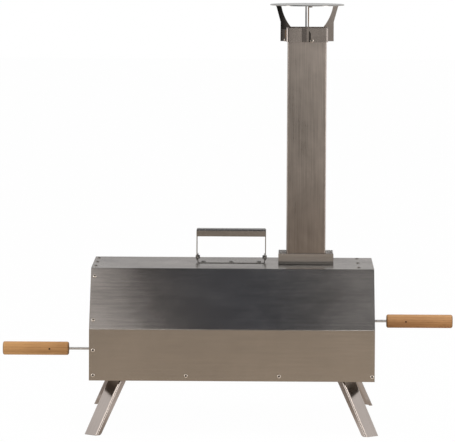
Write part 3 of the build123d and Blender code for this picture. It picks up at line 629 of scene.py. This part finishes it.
def link(name, vertices, faces, material, smooth=True):
    """A mesh object from whole arrays of corners and faces."""
    mesh = bpy.data.meshes.new(name)
    mesh.from_pydata(vertices.reshape(-1, 3).tolist(), [], faces.tolist())
    mesh.update()
    if smooth:
        mesh.shade_smooth()
    mesh.materials.append(material)
    piece = bpy.data.objects.new(name, mesh)
    bpy.context.scene.collection.objects.link(piece)
    return piece


def flat_piece(name, corners, material):
    """A flat piece with four corners."""
    return link(name, np.array(corners, float), np.array([[0, 1, 2, 3]]), material, False)


def seat(place, out):
    """Origin and axes of a fastener that stands on a sheet, its head pointing out."""
    z = Vector(out).normalized()
    x = Vector((1, 0, 0)) if abs(z.x) < 0.9 else Vector((0, 1, 0))
    y = z.cross(x).normalized()
    return np.array([place, y.cross(z), y, z])


def wall_seat(side, x, height):
    """A seat on a wall: so far from the body's middle and so high above the wall's foot."""
    return seat((BODY_MIDDLE + x, side * HALF_WIDTH, GROUND_GAP + height), (0, side, 0))


def slope_seat(side, x, share):
    """A seat on a slope, a share of the way from the knee to the roof."""
    place = (
        BODY_MIDDLE + x,
        side * (HALF_WIDTH - SLOPE_RUN * share),
        KNEE + SLOPE_RISE * share,
    )
    return seat(place, (0, side * math.sin(SLOPE_ANGLE), math.cos(SLOPE_ANGLE)))


def body_screw_seats():
    """Seven seats on each side of the body and six on the roof."""
    seats = []
    for side in (-1, 1):
        seats += [wall_seat(side, x, LOW_HEIGHT) for x in LOW_SCREWS]
        seats.append(wall_seat(side, END_SCREWS, END_HEIGHT))
        seats += [slope_seat(side, END_SCREWS, share) for share in SLOPE_SHARES]
    for step in (-1, 0, 1):
        for x, spacing in ROOF_SCREWS:
            seats.append(seat((BODY_MIDDLE + x, step * spacing, ROOF), (0, 0, 1)))
    return seats


def socket_screw_seats():
    """Four seats on the socket's floor, at the corners round the flue."""
    along, across = SOCKET_SCREWS
    return [
        seat((FLUE_MIDDLE + x * along, y * across, SOCKET_FLOOR), (0, 0, 1))
        for x in (-1, 1)
        for y in (-1, 1)
    ]


def cap_screw_seats():
    """Four seats on the arms' feet, each a quarter turn round the flue from the last."""
    out, aside, height = CAP_SCREW
    seats = []
    for quarter in range(4):
        spin = Matrix.Rotation(quarter * math.pi / 2, 3, "Z")
        place = spin @ Vector((out, aside, 0)) + Vector((FLUE_MIDDLE, 0, height))
        seats.append(seat(place, spin @ Vector((1, 0, 0))))
    return seats


def rivet_seats():
    """Three seats in a row on the handle's base."""
    return [
        seat((HANDLE_MIDDLE + step * RIVET_SPACING, 0, BASE_TOP), (0, 0, 1))
        for step in (-1, 0, 1)
    ]


def dome(radius, height, shank, length, rings=12):
    """Profile from the crown of a domed head over its rim and down the shank.

    The crown is a quarter ellipse, whose radius goes as the sine and whose height as the
    cosine of an angle from 0 to 90 degrees. It ends a share of the height above the sheet,
    where the upright rim begins.
    """
    angle = np.linspace(0, 1, rings) * np.pi / 2
    crown_radius = radius * np.sin(angle)
    crown_height = height * (CROWN_FOOT + (1 - CROWN_FOOT) * np.cos(angle))
    return (
        np.concatenate([crown_radius, [radius, radius, shank, shank, 0]]),
        np.concatenate([crown_height, [height * RIM_RING, 0, 0, -length, -length]]),
    )


def turned_heads(seats, radii, heights, recess=0.0, depth=0.0):
    """Turned fasteners on many seats at once.

    The surface is the profile (radius, height) carried round the seat's own z axis. Where a
    recess is asked for, the crown sinks by the depth inside a cross of that width, whose
    arms reach a share of the head's radius and whose edges are soft.
    """
    turn = np.linspace(0, 2 * np.pi, TURN_STEPS, endpoint=False)
    radius = np.asarray(radii)[:, None]
    x = radius * np.cos(turn)
    y = radius * np.sin(turn)
    z = np.asarray(heights)[:, None] + 0 * turn
    sunk = 0 * z
    if recess:
        near = np.minimum(np.abs(x), np.abs(y))
        far = np.maximum(np.abs(x), np.abs(y))
        reach = radius.max() * RECESS_REACH
        in_arm = np.clip((recess / 2 - near) / (recess * RECESS_SIDE_EDGE) + 0.5, 0, 1)
        in_reach = np.clip((reach - far) / (recess * RECESS_END_EDGE), 0, 1)
        sunk = in_arm * in_reach * (z > 0)
        z = z - depth * sunk
    seats = np.asarray(seats)
    grid = (
        seats[:, 0, None, None]
        + x[None, ..., None] * seats[:, 1, None, None]
        + y[None, ..., None] * seats[:, 2, None, None]
        + z[None, ..., None] * seats[:, 3, None, None]
    )
    count, rings, steps = grid.shape[:3]
    index = np.arange(rings * steps).reshape(rings, steps)
    after = np.roll(index, -1, axis=1)
    walls = np.stack([index[1:], after[1:], after[:-1], index[:-1]], axis=-1).reshape(-1, 4)
    faces = (walls[None] + (np.arange(count) * rings * steps)[:, None, None]).reshape(-1, 4)
    return grid, faces, np.broadcast_to(sunk, grid.shape[:3])


def turned_piece(name, grid, faces, sunk, material):
    """Turned fasteners as one piece, each closed; the recess share stays as an attribute."""
    piece = link(name, grid, faces, material)
    shares = piece.data.attributes.new("recess", "FLOAT", "POINT")
    shares.data.foreach_set("value", sunk.ravel())
    cage = bmesh.new()
    cage.from_mesh(piece.data)
    bmesh.ops.remove_doubles(cage, verts=cage.verts, dist=1e-7)
    bmesh.ops.recalc_face_normals(cage, faces=cage.faces)
    cage.to_mesh(piece.data)
    cage.free()
    return piece


def sheet(context, name, colour, along, **finish):
    """Brushed steel in one of the panel's colours and with its streak width."""
    steel = context.scene.oven_steel
    return brushed_steel(name, tuple(getattr(steel, colour)), along, steel.streak_width, **finish)


class OVEN_OT_body_steel(bpy.types.Operator):
    """Brushes the folded body sheet and the end panels"""

    bl_idname = "oven.body_steel"
    bl_label = "Body steel"

    def execute(self, context):
        shell = sheet(
            context,
            "shell_steel",
            "body_colour",
            "X",
            roughness=0.245,
            grain=0.06,
            cloud=0.20,
            patches=0.003,
            relief=0.012,
            length=36,
            broad_width=3.2,
            broad_grain=0.085,
            # Painted shade dims the highlight on the knee's bend.
            bands=[("Z", KNEE - 1.0 * MM, KNEE + 1.1 * MM, 0.8)],
            calm=("Z", 0.0, KNEE, 0.27),
            # A painted sheen, paler towards the door end.
            fades=[("X", BODY_MIDDLE + 20 * MM, BODY_MIDDLE + 200 * MM, 1.0, 1.08)],
        )
        ends = sheet(
            context,
            "end_steel",
            "body_colour",
            "Y",
            roughness=0.28,
            grain=0.05,
            cloud=0.05,
            relief=0.02,
        )
        give(shell, "outer_shell")
        give(ends, "rear_panel", "front_frame", "door_panel", "tray_front", "door_inner")
        return {"FINISHED"}


class OVEN_OT_flue_steel(bpy.types.Operator):
    """Brushes the flue, its socket and the rain cap with its collar and arms"""

    bl_idname = "oven.flue_steel"
    bl_label = "Flue steel"

    def execute(self, context):
        self.socket(context)
        self.tube(context)
        self.cap(context)
        self.arms(context)
        return {"FINISHED"}

    def socket(self, context):
        """Duller inside, paler by painted light; painted shade at its foot, a painted highlight at
        its rim.
        """
        steel = sheet(
            context,
            "socket_steel",
            "socket_colour",
            "X",
            roughness=0.13,
            grain=0.04,
            cloud=0.04,
            flat=0.3,
            # Painted light lifts the colour inside the walls; the bands and the fade below paint
            # the roof's dark reflection at the foot and a highlight along the rim.
            inside=("Y", -33.5 * MM, 33.5 * MM),
            bands=[
                ("Z", ROOF - 1 * MM, ROOF + 5.5 * MM, 0.62),
                ("Z", ROOF - 1 * MM, ROOF + 1.4 * MM, 0.45),
                ("Z", ROOF + 13.6 * MM, ROOF + 25 * MM, 1.16),
            ],
            fades=[("Z", ROOF + 1 * MM, ROOF + 7 * MM, 0.88, 1.0)],
        )
        give(steel, "flue_socket")

    def tube(self, context):
        """Paler to the right, a painted sheen, and darker towards its foot."""
        steel = sheet(
            context,
            "flue_steel",
            "flue_colour",
            "Z",
            roughness=0.32,
            grain=0.17,
            cloud=0.17,
            relief=0.03,
            fades=[
                # A painted sheen, paler to the right.
                ("X", FLUE_MIDDLE - 30 * MM, FLUE_MIDDLE + 30 * MM, 0.90, 1.08),
                ("Z", ROOF + 50 * MM, ROOF + 88 * MM, 0.82, 1.0),
            ],
        )
        give(steel, "flue_tube")

    def cap(self, context):
        """The cap is even; its collar has painted shade left of the front arm and towards its
        right side.
        """
        # Painted shade: a dark patch left of the front arm, and a darker right side.
        patch = ("X", FLUE_MIDDLE - 8.5 * MM, FLUE_MIDDLE - 1 * MM, 0.47)
        fade = ("X", FLUE_MIDDLE - 5 * MM, FLUE_MIDDLE + 5 * MM, 0.95, 0.78)
        for name, colour, tones in (
            ("rain_cap", "body_colour", {}),
            ("cap_collar", "collar_colour", {"bands": [patch], "fades": [fade]}),
        ):
            steel = sheet(
                context,
                name + "_steel",
                colour,
                "X",
                roughness=0.2,
                grain=0.05,
                cloud=0.04,
                flat=0.3,
                **tones,
            )
            give(steel, name)

    def arms(self, context):
        """Painted shade darkens the left arm, most of all above the collar, and the front arm's
        foot.
        """
        # Painted shade on the left arm above the collar and towards its outer edge, and on the
        # front arm's foot.
        blade = ("Z", ARM_SHADE, ARM_SHADE + 60 * MM, 0.38)
        edge = ("X", FLUE_MIDDLE - 43 * MM, FLUE_MIDDLE - 34 * MM, 0.45, 1.2)
        foot = ("X", FLUE_MIDDLE + 2.2 * MM, FLUE_MIDDLE + 5.6 * MM, 0.2)
        for name, tones in (
            ("cap_arm_right", {}),
            ("cap_arm_back", {}),
            ("cap_arm_left", {"bands": [blade], "fades": [edge]}),
            ("cap_arm_front", {"bands": [foot]}),
        ):
            steel = sheet(
                context,
                name + "_steel",
                "collar_colour",
                "Z",
                roughness=0.12,
                grain=0.04,
                cloud=0.04,
                flat=0.1,
                **tones,
            )
            give(steel, name)


class OVEN_OT_handle_steel(bpy.types.Operator):
    """Brushes the carry handle and its base, with painted shade along its top and before the ears
    """

    bl_idname = "oven.handle_steel"
    bl_label = "Handle steel"

    def execute(self, context):
        # Each band is painted shade.
        for name, piece, band in (
            ("handle_steel", "carry_handle", ("Z", ROOF + 49.7 * MM, ROOF + 54 * MM, 0.74)),
            ("handle_base_steel", "handle_base", ("Y", -12.1 * MM, -11.9 * MM, 0.3)),
        ):
            steel = sheet(
                context,
                name,
                "body_colour",
                "X",
                roughness=0.22,
                grain=0.03,
                cloud=0.03,
                bands=[band],
            )
            give(steel, piece)
        return {"FINISHED"}


class OVEN_OT_leg_steel(bpy.types.Operator):
    """Brushes each folded leg along its own lean, with painted highlights on its fold lines, and
    its bracket
    """

    bl_idname = "oven.leg_steel"
    bl_label = "Leg steel"

    def execute(self, context):
        rise = Vector((0, 0, 1))
        inner, outer = LEG_FOLD_HIGHLIGHT
        for corner, (along, across) in LEG_CORNERS.items():
            plan = Vector((along * math.cos(LEG_TURN), across * math.sin(LEG_TURN), 0))
            up = math.cos(LEG_LEAN) * rise - math.sin(LEG_LEAN) * plan
            out = math.cos(LEG_LEAN) * plan + math.sin(LEG_LEAN) * rise
            side = out.cross(up)
            x, y, z = LEG_BOLT
            bolt = side.dot(Vector((BODY_MIDDLE + along * x, across * y, z)))
            steel = sheet(
                context,
                "leg_steel_" + corner,
                "leg_colour",
                "Z",
                roughness=0.17,
                grain=0.04,
                cloud=0.05,
                flat=0.3,
                patches=0.01,
                relief=0.015,
                # Painted highlights along the two fold lines.
                bands=[
                    ("X", bolt - outer, bolt - inner, 1.25),
                    ("X", bolt + inner, bolt + outer, 1.25),
                ],
                lay=(side, out, up),
            )
            give(steel, "leg_" + corner, "leg_bracket_" + corner)
        return {"FINISHED"}


class OVEN_OT_inner_steel(bpy.types.Operator):
    """Gives the sheets inside and under the oven their duller finish"""

    bl_idname = "oven.inner_steel"
    bl_label = "Inner steel"

    def execute(self, context):
        steel = sheet(
            context,
            "inner_steel",
            "inner_colour",
            "X",
            roughness=0.34,
            grain=0.08,
            cloud=0.14,
            flat=0.5,
        )
        give(
            steel,
            "base_pan",
            "flue_spigot",
            "stone_rail_near",
            "stone_rail_far",
            "flame_guard",
            "tray_runner_near",
            "tray_runner_far",
            "fire_tray",
            "fire_grate",
        )
        return {"FINISHED"}


class OVEN_OT_screws(bpy.types.Operator):
    """Makes the domed cross recess screws of the body, socket and cap"""

    bl_idname = "oven.screws"
    bl_label = "Screws"

    def execute(self, context):
        sizes = context.scene.oven_screws
        bright = polished_steel("screw_steel", SCREW_COLOUR)
        # The screws on the roof get painted shade.
        roof_shaded_screw_steel = polished_steel("body_screw_steel", SCREW_COLOUR, above=(ROOF, 0.3))
        for name, body, seats, length, steel in (
            ("body_screws", "oven", body_screw_seats(), 3 * MM, roof_shaded_screw_steel),
            ("socket_screws", "oven", socket_screw_seats(), 4 * MM, bright),
            ("cap_screws", "flue", cap_screw_seats(), 6 * MM, bright),
        ):
            radii, heights = dome(sizes.head_radius, sizes.head_height, SCREW_SHANK, length)
            heads = turned_heads(seats, radii, heights, sizes.recess_width, RECESS_DEPTH)
            piece = turned_piece(name + "_domed", *heads, steel)
            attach(piece, body)
            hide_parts(name)
        return {"FINISHED"}


class OVEN_OT_rivets(bpy.types.Operator):
    """Makes the domed rivets of the carry handle"""

    bl_idname = "oven.rivets"
    bl_label = "Rivets"

    def execute(self, context):
        steel = polished_steel("rivet_steel", RIVET_COLOUR, 0.3)
        radii, heights = dome(radius=3.7 * MM, height=2.1 * MM, shank=1.6 * MM, length=3.2 * MM)
        heads = turned_heads(rivet_seats(), radii, heights)
        piece = turned_piece("handle_rivets_domed", *heads, steel)
        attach(piece, "oven")
        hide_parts("handle_rivets")
        return {"FINISHED"}


class OVEN_OT_rods(bpy.types.Operator):
    """Polishes the rods, bolts, nuts and bracket rivets"""

    bl_idname = "oven.rods"
    bl_label = "Rods, bolts and nuts"

    def execute(self, context):
        give(
            polished_steel("rod_steel", ROD_COLOUR),
            "tray_rod",
            "door_rod",
            "tray_rod_nuts",
            "door_rod_nuts",
            "leg_bolts",
            "leg_nuts",
            "leg_bracket_rivets",
        )
        bolts = polished_steel("handle_bolt_steel", BOLT_COLOUR, 0.3)
        give(bolts, "handle_bolts", "handle_nuts")
        return {"FINISHED"}


class OVEN_OT_grips(bpy.types.Operator):
    """Gives the turned grips their oiled wood and the cross pins their dark steel"""

    bl_idname = "oven.grips"
    bl_label = "Wooden grips"

    def execute(self, context):
        wood = context.scene.oven_wood
        # Each grip's two shares are painted light: a sheen on the top and shade below.
        for name, heart, low, high in (
            ("tray_grip", (-0.3, 0.018, 0.128), (0.97, 0.955, 0.93), (1.09, 1.13, 1.22)),
            ("door_grip", (0.3, 0.006, 0.112), (0.70, 0.58, 0.42), (1.20, 1.28, 1.60)),
        ):
            corners = np.array([corner[:] for corner in NODES[name].bound_box])
            left, _, bottom = corners.min(axis=0).tolist()
            right, _, top = corners.max(axis=0).tolist()
            grain = turned_wood(
                name + "_wood",
                tuple(wood.light),
                tuple(wood.dark),
                wood.ring_width,
                heart,
                ends=(left, right),
                top_light=(bottom, top, low, high),
            )
            give(grain, name)
        give(polished_steel("pin_steel", PIN_COLOUR, 0.5), "tray_grip_pin", "door_grip_pin")
        return {"FINISHED"}


class OVEN_OT_stone(bpy.types.Operator):
    """Gives the baking stone its sandy body"""

    bl_idname = "oven.stone"
    bl_label = "Baking stone"

    def execute(self, context):
        give(stoneware("baking_stone"), "pizza_stone")
        return {"FINISHED"}


def card(name, corners, material):
    """A flat reflector that only polished metal sees, as a studio flag or bounce board."""
    piece = flat_piece(name, corners, material)
    piece.visible_camera = False
    piece.visible_diffuse = False
    piece.visible_shadow = False
    piece.visible_transmission = False
    piece.visible_volume_scatter = False


def upright_card(name, across, y, rise, material):
    """A card that stands between two places along x and two heights, and faces along y."""
    (left, right), (low, high) = across, rise
    corners = [(left, y, low), (right, y, low), (right, y, high), (left, y, high)]
    card(name, corners, material)


def level_card(name, across, along, z, material):
    """A card that lies level at a height, between two places along x and two along y."""
    (left, right), (near, far) = across, along
    corners = [(left, near, z), (right, near, z), (right, far, z), (left, far, z)]
    card(name, corners, material)


def lamp(name, place, aim, size, power, glossy=True):
    """A rectangular soft lamp that points at the oven."""
    light = bpy.data.lights.new(name, "AREA")
    light.shape = "RECTANGLE"
    light.size, light.size_y = size
    light.energy = power
    piece = bpy.data.objects.new(name, light)
    bpy.context.scene.collection.objects.link(piece)
    direction = Vector(aim) - Vector(place)
    turned = direction.to_track_quat("-Z", "Y").to_matrix().to_4x4()
    piece.matrix_world = Matrix.Translation(place) @ turned
    piece.visible_glossy = glossy


def seen_white(tree):
    """1 for rays from the camera or from gloss and glass, 0 for the rest."""
    path = tree.nodes.new("ShaderNodeLightPath")
    total = path.outputs["Is Camera Ray"]
    for name in ("Is Glossy Ray", "Is Transmission Ray"):
        most = tree.nodes.new("ShaderNodeMath")
        most.operation = "MAXIMUM"
        tree.links.new(total, most.inputs[0])
        tree.links.new(path.outputs[name], most.inputs[1])
        total = most.outputs[0]
    return total


class OVEN_OT_studio(bpy.types.Operator):
    """Sets up the pale floor, the soft lamps, the reflectors and the camera"""

    bl_idname = "oven.studio"
    bl_label = "Studio"

    def execute(self, context):
        studio = context.scene.oven_studio
        self.floor(studio)
        self.world(context)
        self.lamps(studio)
        self.boards()
        self.floor_cards()
        self.cap_flag()
        self.camera(context, studio)
        context.scene.view_settings.view_transform = "Standard"
        return {"FINISHED"}

    def floor(self, studio):
        """Pale paper that takes the oven's shadow and is seen almost white."""
        finish = Finish("floor_paper")
        paper = finish.add("ShaderNodeBsdfDiffuse")
        tone = studio.floor_tone
        colour = finish.blend(finish.noise((3, 3, 3), 2.0), [tone] * 3, [tone * 0.99] * 3)
        finish.feed(paper, Color=colour)
        white = finish.add("ShaderNodeEmission")
        mix = finish.add("ShaderNodeMixShader")
        share = finish.product(seen_white(finish.tree), FLOOR_WHITE)
        for socket, value in zip(mix.inputs, (share, paper.outputs[0], white.outputs[0])):
            finish.fill(socket, value)
        finish.surface(mix)
        reach = FLOOR_REACH
        corners = [(-reach, -reach, 0), (reach, -reach, 0), (reach, reach, 0), (-reach, reach, 0)]
        flat_piece("floor", corners, finish.material)

    def world(self, context):
        """A white surround that lights the oven at half its seen strength."""
        world = bpy.data.worlds.new("studio")
        world.use_nodes = True
        tree = world.node_tree
        background = tree.nodes["Background"]
        strength = tree.nodes.new("ShaderNodeMapRange")
        strength.inputs["To Min"].default_value = SURROUND_LIGHT
        strength.inputs["To Max"].default_value = SURROUND_SEEN
        tree.links.new(seen_white(tree), strength.inputs["Value"])
        tree.links.new(strength.outputs["Result"], background.inputs["Strength"])
        background.inputs["Color"].default_value = (1, 1, 1, 1)
        context.scene.world = world

    def lamps(self, studio):
        """A large lamp overhead, which the metal doesn't mirror, and one at each side."""
        overhead = (0, -0.6, 2.6)
        lamp("overhead", overhead, (0, 0, 0.2), (2.2, 2.2), studio.lamp_power, glossy=False)
        lamp("left_edge", (-2.4, -1.4, 0.9), (0, 0, 0.3), (0.7, 1.4), 7.0)
        lamp("right_edge", (2.4, -1.4, 0.9), (0, 0, 0.3), (0.7, 1.4), 7.0)

    def boards(self):
        """Boards in front, overhead, behind and high in front.

        The walls and the flue mirror the front board, the slopes the overhead boards, the roof
        the rear board, and rounded heads, rods and grips the bright key board.
        """
        front_stops = [
            (0.0, (0.50, 0.40, 0.30)),
            (0.16, (0.48, 0.39, 0.30)),
            (0.27, (0.44, 0.385, 0.34)),
            (0.30, (0.15, 0.13, 0.11)),
            (0.36, (0.17, 0.15, 0.13)),
            (0.45, (0.25, 0.24, 0.22)),
            (0.65, (0.42, 0.41, 0.39)),
            (1.0, (0.40, 0.39, 0.37)),
        ]
        front = glow("front_card", front_stops, "Z", 0.0, 0.65)
        upright_card("front_board", (-0.8, 0.8), -0.9, (0.002, 0.64), front)

        sky_stops = [
            (0.0, (0.66, 0.64, 0.63)),
            (0.08, (0.56, 0.54, 0.545)),
            (0.14, (0.34, 0.33, 0.335)),
            (0.19, (0.10, 0.095, 0.10)),
            (0.25, (0.035, 0.035, 0.04)),
            (0.34, (0.035, 0.04, 0.05)),
            (0.43, (0.02, 0.025, 0.04)),
            (0.60, (0.06, 0.07, 0.09)),
            (0.69, (0.11, 0.115, 0.125)),
            (0.77, (0.14, 0.145, 0.155)),
            (0.86, (0.16, 0.16, 0.165)),
            (0.93, (0.27, 0.27, 0.28)),
        ]
        shift = SKEW_PLACE * math.sin(SKEW)
        sky = glow("overhead_card", sky_stops, "X", -0.24 - shift, 0.25 - shift, -SKEW)
        level_card("overhead_board", (-0.8, 0.8), (-0.75, 0.35), OVERHEAD, sky)
        lip = plain_glow("lip_card", (0.06, 0.06, 0.07))
        level_card("overhead_lip", (-0.14, 0.14), (-1.1, -0.75), OVERHEAD, lip)
        lift = plain_glow("lift_card", (0.125, 0.137, 0.16))
        level_card("overhead_lift", (-0.08, 0.14), (-0.18, 0.35), OVERHEAD - LIFT_BELOW, lift)

        rear_stops = [
            (0.0, (0.272, 0.247, 0.252)),
            (0.27, (0.272, 0.247, 0.252)),
            (0.4, (0.70, 0.71, 0.71)),
        ]
        rear = glow("rear_card", rear_stops, "Z", 0.0, 1.5)
        upright_card("rear_board", (-1.5, 1.5), 1.3, (0.002, 1.5), rear)
        key = plain_glow("key_card", (3.2, 3.1, 3.0))
        upright_card("key_board", (-1.6, 1.6), -2.2, (1.5, 2.35), key)

    def floor_cards(self):
        """Cards that lie on the floor beside, under and before the oven, which the legs mirror."""
        side_stops = [(0.0, (0.42, 0.38, 0.35)), (1.0, (0.76, 0.71, 0.66))]
        low = glow("side_card", side_stops, "X", -0.3, 0.3)
        for side in (-1, 1):
            level_card("side_board", (side * 0.3, side * 2.5), (-1, 1), SIDE_HEIGHT, low)

        # The shade cards under the oven are a painted shadow, which the metal mirrors instead of
        # the white floor.
        shade_stops = [
            (0.0, (0.40, 0.35, 0.30)),
            (0.45, (0.56, 0.50, 0.45)),
            (0.7, (0.98, 0.95, 0.92)),
        ]
        shade = glow("shade_card", shade_stops, "X", -0.3, 0.3)
        level_card("shade_near", (-0.3, 0.3), (-0.215, -0.1), SHADE_HEIGHT, shade)
        dim = plain_glow("dim_card", (0.60, 0.54, 0.48))
        level_card("shade_far", (-0.3, 0.3), (-0.1, 0.3), SHADE_HEIGHT, dim)
        warm = plain_glow("low_card", (0.54, 0.45, 0.36))
        level_card("low_board", (-1.3, 1.3), (-0.9, -0.22), NEAR_HEIGHT, warm)

    def cap_flag(self):
        """A dark card before the rain cap, which the cap, its collar and its arms mirror."""
        flag = plain_glow("flag_card", (0.11, 0.11, 0.11))
        upright_card("cap_flag", (-0.03, 0.09), -0.14, (0.575, 0.66), flag)

    def camera(self, context, studio):
        """Looks along the line worked out from the photo's straight edges, with its roll."""
        out, height = math.cos(CAMERA_RISE), math.sin(CAMERA_RISE)
        back = Vector((math.sin(CAMERA_TURN) * out, -math.cos(CAMERA_TURN) * out, height))
        right = (-back).cross(Vector((0, 0, 1))).normalized()
        up = right.cross(-back)
        level = right * math.cos(CAMERA_ROLL) + up * math.sin(CAMERA_ROLL)
        upright = up * math.cos(CAMERA_ROLL) - right * math.sin(CAMERA_ROLL)
        camera = bpy.data.cameras.new("camera")
        camera.sensor_width = 36
        camera.lens = camera.sensor_width * FOCAL_PIXELS / PICTURE_PIXELS
        camera.clip_end = 60
        viewer = bpy.data.objects.new("camera", camera)
        context.scene.collection.objects.link(viewer)
        turned = Matrix((level, upright, back)).transposed().to_4x4()
        place = CAMERA_AIM + back * studio.camera_distance
        viewer.matrix_world = Matrix.Translation(place) @ turned
        context.scene.camera = viewer


class OVEN_PT_panel(bpy.types.Panel):
    """The oven's steps and settings"""

    bl_idname = "OVEN_PT_panel"
    bl_label = "Pizza oven"
    bl_space_type = "VIEW_3D"
    bl_region_type = "UI"
    bl_category = "Pizza oven"

    def draw(self, context):
        for operator in OPERATORS:
            self.layout.operator(operator.bl_idname)
        for group in GROUPS:
            settings = getattr(context.scene, group)
            for key in settings.__annotations__:
                self.layout.prop(settings, key)


OPERATORS = (
    OVEN_OT_body_steel,
    OVEN_OT_flue_steel,
    OVEN_OT_handle_steel,
    OVEN_OT_leg_steel,
    OVEN_OT_inner_steel,
    OVEN_OT_screws,
    OVEN_OT_rivets,
    OVEN_OT_rods,
    OVEN_OT_grips,
    OVEN_OT_stone,
    OVEN_OT_studio,
)
GROUPS = {
    "oven_steel": SteelSettings,
    "oven_wood": WoodSettings,
    "oven_screws": ScrewSettings,
    "oven_studio": StudioSettings,
}


def register():
    for kind in (*GROUPS.values(), *OPERATORS, OVEN_PT_panel):
        bpy.utils.register_class(kind)
    for name, kind in GROUPS.items():
        setattr(bpy.types.Scene, name, bpy.props.PointerProperty(type=kind))


def unregister():
    for name in GROUPS:
        delattr(bpy.types.Scene, name)
    for kind in reversed((*GROUPS.values(), *OPERATORS, OVEN_PT_panel)):
        bpy.utils.unregister_class(kind)


def main():
    """Runs the steps in order."""
    register()
    for operator in OPERATORS:
        area, step = operator.bl_idname.split(".")
        getattr(getattr(bpy.ops, area), step)()


if __name__ == "__main__":
    main()
